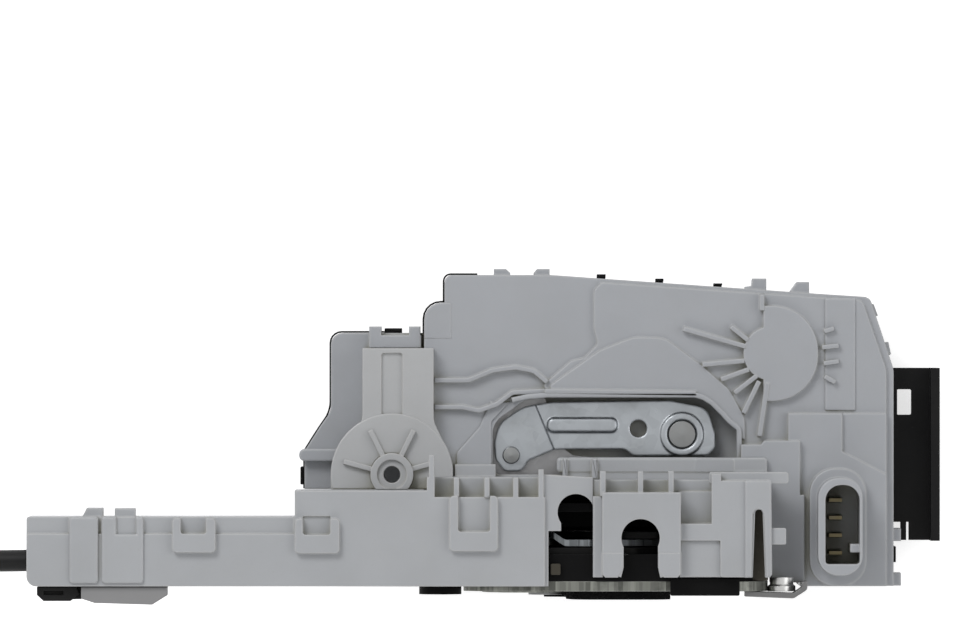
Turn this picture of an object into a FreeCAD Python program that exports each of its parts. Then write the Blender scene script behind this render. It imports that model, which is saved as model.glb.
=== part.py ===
import FreeCAD, Part
import math
import os
import Sketcher

# Vehicle door latch with its lock actuator, lying on its back.
# Millimetres. +Z points away from the surface that it lies on, +Y is the module's upper end.
# The origin lies on the latch's face plate, midway between its two upper screws.

V = FreeCAD.Vector
doc = FreeCAD.newDocument("door_latch_actuator")
sheet = doc.addObject("Spreadsheet::Sheet", "Sizes")

DRIVING_SIZES = {
    # Depths, measured along Z
    "back_z": -44.0,
    "split_z": -28.0,
    "face_z": -12.0,
    "left_plate_drop": 6.0,
    "raised_pad": 1.0,
    "rib_height": 1.8,
    "shield_height": 5.0,
    "housing_front_z": 9.5,
    "keyhole_front_z": 12.0,
    "latch_top_z": 6.0,
    # Module outline
    "module_left": -42.3,
    "module_right": 66.1,
    "module_top": 72.7,
    "module_bottom": 21.0,
    "module_foot": 0.9,
    "left_plate_x": -63.9,
    "left_plate_top": 59.3,
    "left_foot_x": -70.0,
    "connector_left": 44.4,
    "wall": 2.0,
    "case_wall": 2.2,
    "case_gap": 0.0,
    # Window and outer lever
    "window_left": -26.5,
    "window_right": 30.1,
    "window_top": 44.6,
    "window_bottom": 26.6,
    "lever_thick": 1.6,
    "lever_drop": 3.0,
    "pivot_x": 17.3,
    "pivot_y": 35.9,
    "pivot_bore_r": 2.6,
    "running_gap": 0.05,
    "link_x": -22.2,
    "link_y": 31.05,
    "link_r": 1.5,
    # Housing and arm
    "arm_left": -133.4,
    "arm_top": 17.2,
    "arm_bottom": 1.2,
    "arm_depth": 20.0,
    "housing_wall": 1.8,
    "housing_left": -71.9,
    "housing_top": 23.2,
    "housing_right": -14.5,
    "ledge_top": 26.2,
    # Latch
    "plate_thick": 2.3,
    "plate_left": -33.2,
    "plate_right": 36.8,
    "mouth_half": 7.0,
    "mouth_end_z": -10.5,
    "screw_x": 27.5,
    "screw_r": 2.5,
    "third_screw_z": -36.0,
    "catch_x": -14.0,
    "catch_z": -23.0,
    "catch_r": 22.0,
    "catch_thick": 5.0,
    "catch_pin_r": 3.0,
    "catch_slot": 9.6,
    "catch_travel": 60.0,
    "striker_x": 0.0,
    "striker_z": -16.5,
    "pawl_x": 18.0,
    "pawl_z": -17.0,
    "pawl_pin_r": 2.5,
    "layer_gap": 0.3,
    "back_plate_thick": 1.5,
    "latch_case_wall": 2.0,
    "latch_height": 20.2,
    # Drive
    "gear_x": 37.6,
    "gear_y": 51.0,
    "drive_z": -27.0,
    "gear_module": 0.8,
    "gear_teeth": 18.0,
    "gear_thick": 4.0,
    "worm_r": 2.4,
    "pinion_teeth": 8.0,
    "pinion_module": 1.0,
    "motor_left": -3.0,
    "motor_long": 25.0,
    "motor_high": 12.0,
    "motor_deep": 20.0,
    "shaft_r": 1.0,
    # Connector
    "socket_x": 53.4,
    "socket_y": 14.8,
    "socket_half_wide": 5.1,
    "socket_half_long": 11.2,
    "socket_inner_wide": 3.95,
    "socket_inner_long": 9.6,
    "socket_top": 16.0,
    "pin_pitch": 4.05,
    # Cable
    "cable_r": 2.5,
    "cable_y": 6.4,
    "cable_z": -2.0,
}


class Size:
    """A length that knows both its value and the sheet expression it comes from."""

    def __init__(self, value, text):
        self.value = value
        self.text = text

    def join(self, other, sign, value):
        return Size(value, "(" + self.text + " " + sign + " " + words(other) + ")")

    def __add__(self, other):
        return self.join(other, "+", self.value + number(other))

    def __sub__(self, other):
        return self.join(other, "-", self.value - number(other))

    def __mul__(self, other):
        return self.join(other, "*", self.value * number(other))

    def __truediv__(self, other):
        return self.join(other, "/", self.value / number(other))

    def __radd__(self, other):
        return Size(number(other), words(other)) + self

    def __rsub__(self, other):
        return Size(number(other), words(other)) - self

    def __rmul__(self, other):
        return Size(number(other), words(other)) * self

    def __neg__(self):
        return self * -1


def number(size):
    return size.value if isinstance(size, Size) else float(size)


def words(size):
    return size.text if isinstance(size, Size) else "(%.6f)" % size


class SheetSizes:
    """The driving sizes, read by name."""


s = SheetSizes()
for row, (alias, value) in enumerate(DRIVING_SIZES.items(), 1):
    sheet.set("A%d" % row, alias)
    sheet.set("B%d" % row, str(value))
    sheet.setAlias("B%d" % row, alias)
    setattr(s, alias, Size(value, "Sizes." + alias))
doc.recompute()


# Drawing helpers

def bind(thing, field, size):
    if isinstance(size, Size):
        thing.setExpression(field, size.text)


def new_piece(label):
    return doc.addObject("PartDesign::Body", label)


def origin_plane(body, role):
    return [item for item in body.Origin.OriginFeatures if item.Role == role][0]


def circle(x, y, radius):
    return ("circle", x, y, radius)


def rect(left, low, right, high, radius=None):
    corners = [(left, low), (right, low), (right, high), (left, high)]
    if radius is None:
        return corners
    return [(x, y, radius) for x, y in corners]


def hold_point(sketch, geometry, position, x, y):
    for kind, size in (("DistanceX", x), ("DistanceY", y)):
        rule = Sketcher.Constraint(kind, -1, 1, geometry, position, number(size))
        bind(sketch, "Constraints[%d]" % sketch.addConstraint(rule), size)


def draw_circle(sketch, x, y, radius):
    ring = Part.Circle(V(number(x), number(y), 0), V(0, 0, 1), number(radius))
    index = sketch.addGeometry(ring)
    rule = sketch.addConstraint(Sketcher.Constraint("Radius", index, number(radius)))
    bind(sketch, "Constraints[%d]" % rule, radius)
    hold_point(sketch, index, 3, x, y)


def draw_corners(sketch, corners):
    """Draw a closed outline; a third number at a corner rounds it."""
    points = [V(number(corner[0]), number(corner[1]), 0) for corner in corners]
    count = len(points)
    ends = []
    for i, corner in enumerate(corners):
        here = points[i]
        if len(corner) == 2:
            ends.append((here, here, None))
            continue
        back = (points[i - 1] - here).normalize()
        ahead = (points[(i + 1) % count] - here).normalize()
        half = back.getAngle(ahead) / 2
        radius = number(corner[2])
        trim = radius / math.tan(half)
        middle = (back + ahead).normalize()
        crown = here + middle * (radius / math.sin(half) - radius)
        left_turn = back.cross(ahead).z < 0
        ends.append((here + back * trim, here + ahead * trim, (crown, left_turn)))
    lines = []
    for i in range(count):
        line = Part.LineSegment(ends[i][1], ends[(i + 1) % count][0])
        lines.append(sketch.addGeometry(line))
    for i, corner in enumerate(corners):
        before, after = lines[i - 1], lines[i]
        if ends[i][2] is None:
            sketch.addConstraint(Sketcher.Constraint("Coincident", before, 2, after, 1))
            hold_point(sketch, after, 1, corner[0], corner[1])
            continue
        crown, left_turn = ends[i][2]
        arc = sketch.addGeometry(Part.Arc(ends[i][0], crown, ends[i][1]))
        first, last = (1, 2) if left_turn else (2, 1)
        sketch.addConstraint(Sketcher.Constraint("Tangent", before, 2, arc, first))
        sketch.addConstraint(Sketcher.Constraint("Tangent", arc, last, after, 1))
        rule = sketch.addConstraint(Sketcher.Constraint("Radius", arc, number(corner[2])))
        bind(sketch, "Constraints[%d]" % rule, corner[2])
        tip = sketch.addGeometry(Part.Point(points[i]), True)
        sketch.addConstraint(Sketcher.Constraint("PointOnObject", tip, 1, before))
        sketch.addConstraint(Sketcher.Constraint("PointOnObject", tip, 1, after))
        hold_point(sketch, tip, 1, corner[0], corner[1])


def draw(body, plane, loops, lift):
    """A sketch on one of the body's own planes, lifted along the plane's row axis."""
    sketch = body.newObject("Sketcher::SketchObject", body.Label + "_sketch")
    sketch.AttachmentSupport = [(origin_plane(body, plane + "_Plane"), "")]
    sketch.MapMode = "FlatFace"
    for loop in loops:
        if loop[0] == "circle":
            draw_circle(sketch, *loop[1:])
        else:
            draw_corners(sketch, loop)
    along = -1 if plane == "XZ" else 1
    sketch.AttachmentOffset = FreeCAD.Placement(V(0, 0, along * number(lift)), FreeCAD.Rotation())
    bind(sketch, ".AttachmentOffset.Base.z", lift * along if isinstance(lift, Size) else None)
    return sketch


def set_length(feature, length):
    feature.Length = number(length)
    bind(feature, "Length", length)


def add(body, plane, loops, low, high):
    """Material inside the loops, from low to high along the axis square to the plane."""
    pad = body.newObject("PartDesign::Pad", body.Label + "_pad")
    pad.Profile = draw(body, plane, loops, low)
    pad.Reversed = plane == "XZ"
    set_length(pad, high - low)
    return pad


def cut(body, plane, loops, low, high):
    """Takes away what is inside the loops, from low to high."""
    pocket = body.newObject("PartDesign::Pocket", body.Label + "_pocket")
    pocket.Profile = draw(body, plane, loops, low if plane == "XZ" else high)
    set_length(pocket, high - low)
    return pocket


def turn(body, profile):
    """A turned piece: the profile of (radius, height) corners goes round the body's Z axis."""
    sketch = draw(body, "XZ", [profile], 0)
    feature = body.newObject("PartDesign::Revolution", body.Label + "_turned")
    feature.Profile = sketch
    feature.ReferenceAxis = (sketch, ["V_Axis"])
    feature.Angle = 360
    return feature


def place(body, x, y, z, axis=V(0, 0, 1), angle=0):
    body.Placement = FreeCAD.Placement(V(number(x), number(y), number(z)),
                                       FreeCAD.Rotation(axis, number(angle)))
    bind(body, "Placement.Base.x", x)
    bind(body, "Placement.Base.y", y)
    bind(body, "Placement.Base.z", z)
    bind(body, "Placement.Rotation.Angle", angle)


ALONG_Y = (V(1, 0, 0), -90)
ALONG_X = (V(0, 1, 0), 90)


# Front cover: one pale moulding with its pads, ribs, window and connector socket

inner_z = s.face_z - s.wall
left_plate_z = s.face_z - s.left_plate_drop
pad_z = s.face_z + s.raised_pad
rib_z = s.face_z + s.rib_height

cover_outline = [
    (s.module_left, s.module_bottom),
    (s.connector_left, s.module_bottom),
    (s.connector_left, s.module_foot),
    (s.module_right, s.module_foot),
    (s.module_right, 51.0, 6),
    (60.6, 67.6, 2),
    (49.6, 68.3, 30),
    (-1.8, 71.9, 30),
    (-12.9, s.module_top, 30),
    (s.module_left + 4.7, s.module_top, 1.8),
    (s.module_left + 4.7, 61.6, 3),
    (s.module_left, 61.6, 1.5),
]
left_plate_outline = [
    (s.left_foot_x, s.housing_top),
    (s.module_left + 6, s.housing_top),
    (s.module_left + 6, s.left_plate_top),
    (s.left_plate_x, s.left_plate_top, 2.8),
    (s.left_plate_x, 41.2, 4),
    (-66.2, 38.0, 6),
    (s.left_foot_x, 32.0, 2),
]

front_cover = new_piece("front_cover")
add(front_cover, "XY", [cover_outline], s.split_z, s.face_z)
add(front_cover, "XY", [left_plate_outline], s.split_z, left_plate_z)

cover_cavity = [
    (s.module_left + s.wall, s.module_bottom + s.wall),
    (s.connector_left + s.wall, s.module_bottom + s.wall),
    (s.connector_left + s.wall, s.module_foot + s.wall),
    (s.module_right - s.wall, s.module_foot + s.wall),
    (s.module_right - s.wall, 50.5, 5),
    (59.0, 65.6, 1.2),
    (49.4, 66.3, 30),
    (-1.9, 69.9, 30),
    (-13.0, s.module_top - s.wall, 30),
    (s.module_left + 4.7 + s.wall, s.module_top - s.wall, 1),
    (s.module_left + 4.7 + s.wall, 59.7, 1),
    (s.module_left + s.wall, 59.7),
]
left_cavity = [
    (s.left_foot_x + 3, s.housing_top + s.wall),
    (s.module_left + s.wall + 1, s.housing_top + s.wall),
    (s.module_left + s.wall + 1, s.left_plate_top - s.wall),
    (s.left_plate_x + s.wall, s.left_plate_top - s.wall, 1),
    (s.left_plate_x + s.wall, 40.5, 3),
]
raised_outline = [
    (31.9, s.module_bottom + 0.8),
    (s.module_right - 1.7, s.module_bottom + 0.8),
    (s.module_right - 1.7, 51.0, 6),
    (58.9, 66.9, 2),
    (49.4, 67.5, 30),
    (-1.4, 71.0, 1),
    (-3.1, 69.2, 1.5),
    (-3.1, 60.3, 3),
    (-2.2, 56.8, 1.5),
    (-5.3, 53.6, 1.5),
    (-8.4, 52.9, 2),
    (-15.0, 47.2, 1),
    (-12.0, 44.0),
    (28.0, 36.0),
]
hill_outline = [
    (-13.3, 47.2, 0.8),
    (-1.8, 55.3, 6),
    (6.1, 58.4, 8),
    (13.2, 58.2, 6),
    (21.4, 52.1, 8),
    (28.2, 46.2, 6),
    (31.7, 39.6, 4),
    (31.7, 34.7),
    (20.0, 40.0),
    (-12.0, 43.0),
]
window_outline = [
    (s.window_left, s.window_bottom, 2),
    (s.window_right, s.window_bottom, 1),
    (s.window_right, 37.2, 2),
    (s.window_right - 8, s.window_top, 5),
    (s.window_left + 8.5, s.window_top, 7),
    (s.window_left, 38.5, 5),
]
bulge_x, bulge_y, bulge_r, bulge_hub_r = 37.6, 54.6, 11.0, 6.2


def strip(x0, y0, x1, y1, width):
    """A straight rib seen from above."""
    long = math.hypot(x1 - x0, y1 - y0)
    side_x, side_y = -(y1 - y0) / long * width / 2, (x1 - x0) / long * width / 2
    return [(x0 + side_x, y0 + side_y), (x0 - side_x, y0 - side_y),
            (x1 - side_x, y1 - side_y), (x1 + side_x, y1 + side_y)]


def ribbon(points, width, bend):
    """A rib that follows the points, its inner corners rounded."""
    left, right = [], []
    for i, (x, y) in enumerate(points):
        ahead = points[min(i + 1, len(points) - 1)]
        behind = points[max(i - 1, 0)]
        long = math.hypot(ahead[0] - behind[0], ahead[1] - behind[1])
        side = V(-(ahead[1] - behind[1]) / long, (ahead[0] - behind[0]) / long, 0) * (width / 2)
        inner = 0 < i < len(points) - 1
        left.append((x + side.x, y + side.y, bend) if inner else (x + side.x, y + side.y))
        right.append((x - side.x, y - side.y, bend) if inner else (x - side.x, y - side.y))
    return left + right[::-1]


add(front_cover, "XY", [raised_outline], s.face_z, pad_z)
add(front_cover, "XY", [hill_outline], s.face_z, pad_z + 0.8)
add(front_cover, "XY", [[(36.0, bulge_y - bulge_r), (bulge_x + bulge_r, bulge_y - bulge_r, 10.5),
                         (bulge_x + bulge_r, bulge_y + bulge_r, 10.5), (36.0, bulge_y + bulge_r)]],
    s.face_z, pad_z + 1.6)
add(front_cover, "XY", [circle(bulge_x, bulge_y, bulge_hub_r)], s.face_z, pad_z + 1.6)

# Lower right block and the pads beside the socket
lower_block = [
    (41.7, s.module_bottom + 0.4), (s.connector_left, s.module_bottom + 0.4),
    (s.connector_left, s.module_foot), (s.module_right - 1.7, s.module_foot),
    (s.module_right - 1.7, 26.7), (54.2, 32.0), (54.2, 40.8), (41.7, 40.8),
]
add(front_cover, "XY", [lower_block], s.face_z, s.face_z + 3)
add(front_cover, "XY", [rect(54.0, 26.0, s.module_right - 1.7, 40.8)], s.face_z, s.face_z + 2)
add(front_cover, "XY", [[(30.8, s.module_bottom), (s.connector_left, s.module_bottom),
                         (s.connector_left, 34.5), (36.1, 34.5), (35.4, 33.6), (30.8, 33.6)]],
    s.face_z, s.face_z + 5)
add(front_cover, "XY", [rect(37.5, 1.8, s.connector_left + 1, s.module_bottom + 1)],
    s.face_z - 4, s.face_z + 5)

# Hollow underside, then the window
cut(front_cover, "XY", [cover_cavity], s.split_z, inner_z)
cut(front_cover, "XY", [left_cavity], s.split_z, left_plate_z - s.wall)
cut(front_cover, "XY", [window_outline], inner_z - 1, pad_z + 2)

# Posts that the case screws bite into
screw_places = [(-32.5, 66.5), (60.0, 49.0), (-36.5, 27.4), (40.8, 27.4)]
screw_shank_r, post_r = 1.2, 2.9
add(front_cover, "XY", [circle(x, y, post_r) for x, y in screw_places], s.split_z, inner_z)
cut(front_cover, "XY", [circle(x, y, screw_shank_r + s.running_gap) for x, y in screw_places],
    s.split_z, s.split_z + 8)

# Ribs fanning out of the bulge, and the two curved ribs that run in from the left
fan = [(28.5, 60.8, 32.4, 57.7), (17.5, 60.3, 31.9, 56.2), (21.9, 52.0, 31.6, 52.9),
       (26.2, 48.6, 32.6, 50.9), (29.3, 45.5, 34.4, 49.4), (31.4, 40.8, 35.0, 48.2),
       (35.1, 35.5, 36.9, 47.8)]
add(front_cover, "XY", [strip(*rib, 1.1) for rib in fan], s.face_z, pad_z + s.rib_height)
comb = [(50.0, 59.7, 52.3, 60.4), (49.5, 56.0, 53.4, 56.4), (49.9, 52.3, 53.4, 52.8),
        (50.1, 49.3, 52.6, 47.9)]
add(front_cover, "XY", [strip(*rib, 1.0) for rib in comb], s.face_z, pad_z + s.rib_height)
upper_rib = ribbon([(-39.9, 48.4), (-32.0, 48.4), (-26.5, 50.7), (-21.2, 51.4), (-17.0, 50.6),
                    (-13.9, 48.0)], 1.1, 3)
add(front_cover, "XY", [upper_rib], s.face_z, rib_z)
lower_rib = ribbon([(-39.9, 42.2), (-33.4, 42.2), (-29.6, 41.4), (-25.5, 42.9), (-21.9, 45.6),
                    (-12.0, 46.0)], 1.1, 2)
add(front_cover, "XY", [lower_rib], s.face_z, rib_z)
add(front_cover, "XY", [strip(-14.5, 45.9, 20.5, 45.4, 1.1)], s.face_z, pad_z + s.rib_height)
add(front_cover, "XY", [rect(35.1, 64.5, 36.2, 68.2)], s.face_z, pad_z + s.rib_height)

# Clip block over the left plate, and the catches round the edge
clip_z = s.face_z - 1
add(front_cover, "XY", [rect(-55.0, 55.9, -43.0, 58.8)], left_plate_z - s.wall, clip_z)
add(front_cover, "XY", [rect(-55.0, 56.5, -52.2, s.left_plate_top + 1.5),
                        rect(-45.8, 56.5, -43.2, s.left_plate_top + 1.5)],
    left_plate_z - s.wall - 6, clip_z)
top_tabs = [
    [(-26.2, 72.0), (-22.4, 72.0), (-22.4, 73.2), (-23.4, 74.1), (-26.2, 74.1)],
    [(-17.0, 72.0), (-13.3, 72.0), (-13.3, 74.1), (-16.2, 74.1), (-17.0, 73.2)],
    [(31.9, 68.6), (36.8, 68.2), (36.8, 71.9), (33.6, 71.9), (33.4, 70.2), (31.9, 70.0)],
    [(41.6, 67.9), (46.7, 67.6), (46.7, 71.1), (43.9, 71.1)],
]
add(front_cover, "XY", top_tabs, s.split_z + 2, s.face_z - 3)
side_tabs = [
    rect(s.module_right - 1, s.module_foot, s.module_right + 1.8, 3.8),
    rect(s.module_right - 1, 11.2, s.module_right + 1.8, 14.1),
    [(64.0, 53.5), (65.6, 54.4), (65.0, 57.2), (63.0, 57.0)],
    [(60.4, 62.8), (62.6, 63.3), (61.6, 66.0), (59.6, 66.0)],
]
add(front_cover, "XY", side_tabs, s.split_z + 2, s.face_z - 3)

# Connector socket: an oval base, a tall oval ring and four slits in its floor
base_half = s.socket_half_wide + 1.7
add(front_cover, "XY", [rect(s.socket_x - base_half, s.socket_y - s.socket_half_long - 2.6,
                             s.socket_x + base_half - 0.6, s.socket_y + s.socket_half_long + 2.1,
                             5.8)], s.face_z, s.face_z + 6)
add(front_cover, "XY", [rect(s.socket_x - s.socket_half_wide, s.socket_y - s.socket_half_long,
                             s.socket_x + s.socket_half_wide, s.socket_y + s.socket_half_long,
                             4.6)], s.face_z, s.face_z + s.socket_top)
well_x = s.socket_x + 0.5
cut(front_cover, "XY", [[(well_x - s.socket_inner_wide, s.socket_y - s.socket_inner_long + 1, 0.8),
                         (well_x + s.socket_inner_wide, s.socket_y - s.socket_inner_long + 1, 0.8),
                         (well_x + s.socket_inner_wide, s.socket_y + s.socket_inner_long, 3.6),
                         (well_x - s.socket_inner_wide, s.socket_y + s.socket_inner_long, 3.6)]],
    s.face_z, s.face_z + s.socket_top)
pin_low_x, pin_wide, pin_thick, pin_gap = well_x - 3.0, 3.0, 0.8, 0.1
pin_ys = [s.socket_y + s.pin_pitch * (step - 1.5) for step in range(4)]
cut(front_cover, "XY", [rect(pin_low_x - pin_gap, y - pin_thick / 2 - pin_gap,
                             pin_low_x + pin_wide + pin_gap, y + pin_thick / 2 + pin_gap)
                        for y in pin_ys], inner_z - 1, s.face_z)
add(front_cover, "XY", [rect(well_x + 1.8, 8.9, well_x + s.socket_inner_wide + 0.3, 10.8)],
    s.face_z, s.face_z + s.socket_top - 1.5)

# Rear case: the black shell that the cover snaps on

rear_case = new_piece("rear_case")
add(rear_case, "XY", [cover_outline], s.back_z, s.split_z)
add(rear_case, "XY", [left_plate_outline], s.back_z, s.split_z)
cut(rear_case, "XY", [cover_cavity], s.back_z + s.case_wall, s.split_z)
cut(rear_case, "XY", [left_cavity], s.back_z + s.case_wall, s.split_z)
add(rear_case, "XY", [circle(x, y, post_r) for x, y in screw_places], s.back_z, s.split_z)
cut(rear_case, "XY", [circle(x, y, screw_shank_r + s.running_gap) for x, y in screw_places],
    s.back_z, s.split_z)
cut(rear_case, "XY", [circle(x, y, 2.7) for x, y in screw_places], s.back_z, s.back_z + 1.8)
lugs = [rect(-2.3, 70.6, -0.3, 72.9), rect(11.3, 69.9, 13.1, 71.9), rect(24.8, 69.0, 26.7, 70.8)]
add(rear_case, "XY", lugs, s.split_z - 5, s.split_z)
tongues = [rect(-2.3, 72.1, -0.3, 72.9), rect(11.3, 71.2, 13.1, 71.9),
           rect(24.8, 70.3, 26.7, 70.8)]
add(rear_case, "XY", tongues, s.split_z - 5, s.split_z + 8)
back_ribs = [strip(-36.0, 30.0, 60.0, 30.0, 1.6), strip(-36.0, 55.0, 58.0, 55.0, 1.6)]
back_slats = [strip(x, 26.0, x, 66.0, 1.6) for x in (-30.0, 0.0, 30.0)]

# Shield plate: the whiter plate with the ribbed boss, over the step between plate and cover

shield_top = s.face_z + s.shield_height
disc_x, disc_y, disc_r = -49.7, 26.7, 14.1
shield_plate = new_piece("shield_plate")
shield_low = left_plate_z
add(shield_plate, "XY", [[(-56.5, 36.5), (s.module_left - 0.1, 36.5), (s.module_left - 0.1, 55.8),
                          (-56.5, 55.8)]], shield_low, shield_top)
add(shield_plate, "XY", [[(-56.5, 36.5), (-40.1, 36.5), (-40.1, 55.8), (-56.5, 55.8)]],
    s.face_z, shield_top)
flare = [(disc_x - disc_r, s.housing_top + 0.1), (-41.8, s.housing_top + 0.1),
         (-41.8, s.ledge_top + 0.2), (disc_x + disc_r, s.ledge_top + 0.2),
         (disc_x + disc_r, 29.5, 8), (-40.1, 38.9, 5), (-40.1, 42.0), (-56.5, 42.0),
         (-56.5, 38.9, 5), (disc_x - disc_r, 29.5, 8)]
add(shield_plate, "XY", [flare], s.face_z, shield_top)
cut(shield_plate, "XY", [rect(-52.1, 36.3, -47.3, 54.7, 0.6)], shield_top - 0.7, shield_top)
boss_ribs = [(-54.7, 36.9), (-44.7, 36.9), (-60.8, 29.7), (-40.8, 29.2)]
add(shield_plate, "XY", [circle(disc_x, disc_y, 4.95)], s.face_z, shield_top + 3)
for x, y in boss_ribs:
    near = 4.2 / math.hypot(x - disc_x, y - disc_y)
    add(shield_plate, "XY", [strip(disc_x + (x - disc_x) * near, disc_y + (y - disc_y) * near,
                                   x, y, 1.15)], shield_top - 1, shield_top + 1.6)
cut(shield_plate, "XY", [rect(disc_x - disc_r, 15.0, disc_x + disc_r, s.housing_top + 0.1)],
    s.face_z - 1, shield_top + 4)
cut(shield_plate, "XY", [circle(disc_x, disc_y, 3.4)], shield_top + 2.2, shield_top + 3)
cut(shield_plate, "XY", [circle(disc_x, disc_y, 1.95)], s.face_z - 1, shield_top + 3)

# Lower housing: the white tray in front of the latch with the cable duct arm

front_z = s.housing_front_z
arm_back_z = s.housing_front_z - s.arm_depth
lower_housing = new_piece("lower_housing")
add(lower_housing, "XY", [[(s.arm_left, s.arm_bottom, 2.3), (s.housing_left + 2, s.arm_bottom),
                           (s.housing_left + 2, s.arm_top), (s.arm_left, s.arm_top, 0.6)]],
    arm_back_z, front_z)
add(lower_housing, "XY", [[(s.housing_left, s.arm_bottom), (s.housing_right, s.arm_bottom),
                           (s.housing_right, s.ledge_top), (-41.6, s.ledge_top),
                           (-41.6, s.housing_top), (s.housing_left, s.housing_top)]],
    s.face_z, front_z)
# Open back and underside
cut(lower_housing, "XY", [rect(s.arm_left + s.housing_wall, s.arm_bottom + s.housing_wall,
                               -46.5, s.arm_top - s.housing_wall)],
    s.face_z, front_z - s.housing_wall)
cut(lower_housing, "XY", [rect(s.housing_left + s.housing_wall, s.arm_bottom + s.housing_wall,
                               -46.5, s.housing_top - s.housing_wall)],
    s.face_z, front_z - s.housing_wall)
cut(lower_housing, "XY", [rect(-44.7, s.arm_bottom - 1, s.housing_right + 1,
                               s.housing_top - s.housing_wall)],
    s.face_z, front_z - s.housing_wall)
# Recessed upper band of the arm, the raised guides on it and its top tabs
cut(lower_housing, "XY", [rect(s.arm_left - 1, 13.3, s.housing_left - 0.2, s.arm_top + 1)],
    front_z - 0.6, front_z)
add(lower_housing, "XY", [rect(-123.6, 13.3, -116.9, s.arm_top, 0.5),
                          rect(-116.2, 13.3, -106.5, s.arm_top, 0.5)], front_z - 2, front_z + 0.6)
cut(lower_housing, "XY", [rect(-112.7, 13.3, -108.3, s.arm_top + 1)], front_z, front_z + 0.6)
add(lower_housing, "XY", [[(-121.0, 16.5), (-115.9, 16.5), (-115.9, 19.2), (-119.6, 19.2)],
                          rect(-113.2, 16.5, -108.5, 19.1)], front_z - 9, front_z - 1)
# Hooked guide pockets: a raised U with a pocket inside
pockets = [(-99.9, 9.0, -90.0, 16.9, -98.0, 13.3, -92.2),
           (-71.8, 8.8, -61.6, 16.8, -70.0, 13.1, -63.7),
           (-36.4, 9.3, -25.3, 22.0, -34.4, 13.8, -27.1)]
for left, low, right, high, inner_left, inner_low, inner_right in pockets:
    add(lower_housing, "XY", [rect(left, low, right, high, 1.0)], front_z - 1, front_z + 1.6)
for left, low, right, high, inner_left, inner_low, inner_right in pockets:
    cut(lower_housing, "XY", [[(inner_left, inner_low, 0.6), (inner_right, inner_low, 0.6),
                               (inner_right, high + 0.5), (inner_left, high + 0.5)]],
        front_z - 0.6, front_z + 2)
# Ribbed ledge on top, with its flanges
cut(lower_housing, "XY", [rect(-39.8, 21.7, s.housing_right + 1, s.ledge_top + 1)],
    front_z - 5, front_z)
ledge_ribs = [rect(-41.1, 21.6, -39.9, 31.3), rect(-35.4, 21.6, -34.2, 26.2),
              rect(-28.4, 21.6, -27.2, 26.2), rect(-21.8, 21.6, -20.6, 26.2),
              rect(-16.0, 21.6, -14.8, 28.0)]
add(lower_housing, "XY", ledge_ribs, front_z - 6, front_z)
add(lower_housing, "XY", [rect(-35.2, 26.0, -25.8, 29.0)], s.face_z, s.face_z + 4)

# The part of the tray with the two keyholes
shelf_low, shelf_high = 22.4, 25.6
add(lower_housing, "XY", [rect(s.housing_right - 1, shelf_low, 37.1, shelf_high)],
    s.face_z + 5.2, front_z - 5)
add(lower_housing, "XY", [rect(s.housing_right - 1, shelf_low, 30.4, shelf_high)],
    s.face_z, front_z - 5)
keyhole_back_z = front_z - s.housing_wall
add(lower_housing, "XY", [[(s.housing_right - 0.5, 1.2), (-13.7, 1.2), (-13.7, 13.9),
                           (-10.8, 13.9), (-10.8, 12.6), (-3.5, 12.6), (-3.5, 26.2),
                           (s.housing_right - 0.5, 26.9)]], front_z - 2.9, front_z - 1.1)
cut(lower_housing, "XY", [circle(-7.4, 18.2, 4.2)], front_z - 6, front_z)
cut(lower_housing, "XY", [rect(-10.8, 10.0, -3.2, 18.2)], front_z - 6, front_z)
key_z = s.keyhole_front_z
add(lower_housing, "XY", [[(-1.4, 5.0, 1), (3.0, 3.3, 1), (12.2, 3.3, 1), (16.6, 5.0, 1),
                           (16.6, 21.9, 0.6), (-1.4, 21.9, 0.6)]], key_z - 4, key_z)
cut(lower_housing, "XY", [circle(7.4, 12.3, 4.4)], key_z - 4, key_z)
cut(lower_housing, "XY", [[(2.6, 2.0), (12.2, 2.0), (11.4, 5.6), (11.4, 12.3), (3.5, 12.3),
                           (3.5, 5.6)]], key_z - 4, key_z)
add(lower_housing, "XY", [rect(-1.4, 19.8, 16.6, shelf_low + 0.4)], front_z - 6, key_z)
add(lower_housing, "XY", [rect(-3.6, 21.6, -1.0, 25.6)], front_z - 6, front_z - 1.8)
add(lower_housing, "XY", [rect(-1.9, 21.9, -0.6, 27.6), rect(6.8, 21.9, 8.0, 27.6),
                          rect(13.8, 21.9, 15.0, 27.6)], front_z - 6, front_z + 1)
add(lower_housing, "XY", [rect(-1.4, 27.3, 28.0, 30.4, 0.6)], s.face_z, s.face_z + 6)
add(lower_housing, "XY", [rect(-1.4, shelf_high - 0.4, 0.4, 28.4), rect(13.8, shelf_high - 0.4, 15.2, 28.4),
                          rect(26.0, shelf_high - 0.4, 28.0, 28.4)], s.face_z, s.face_z + 6)
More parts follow.
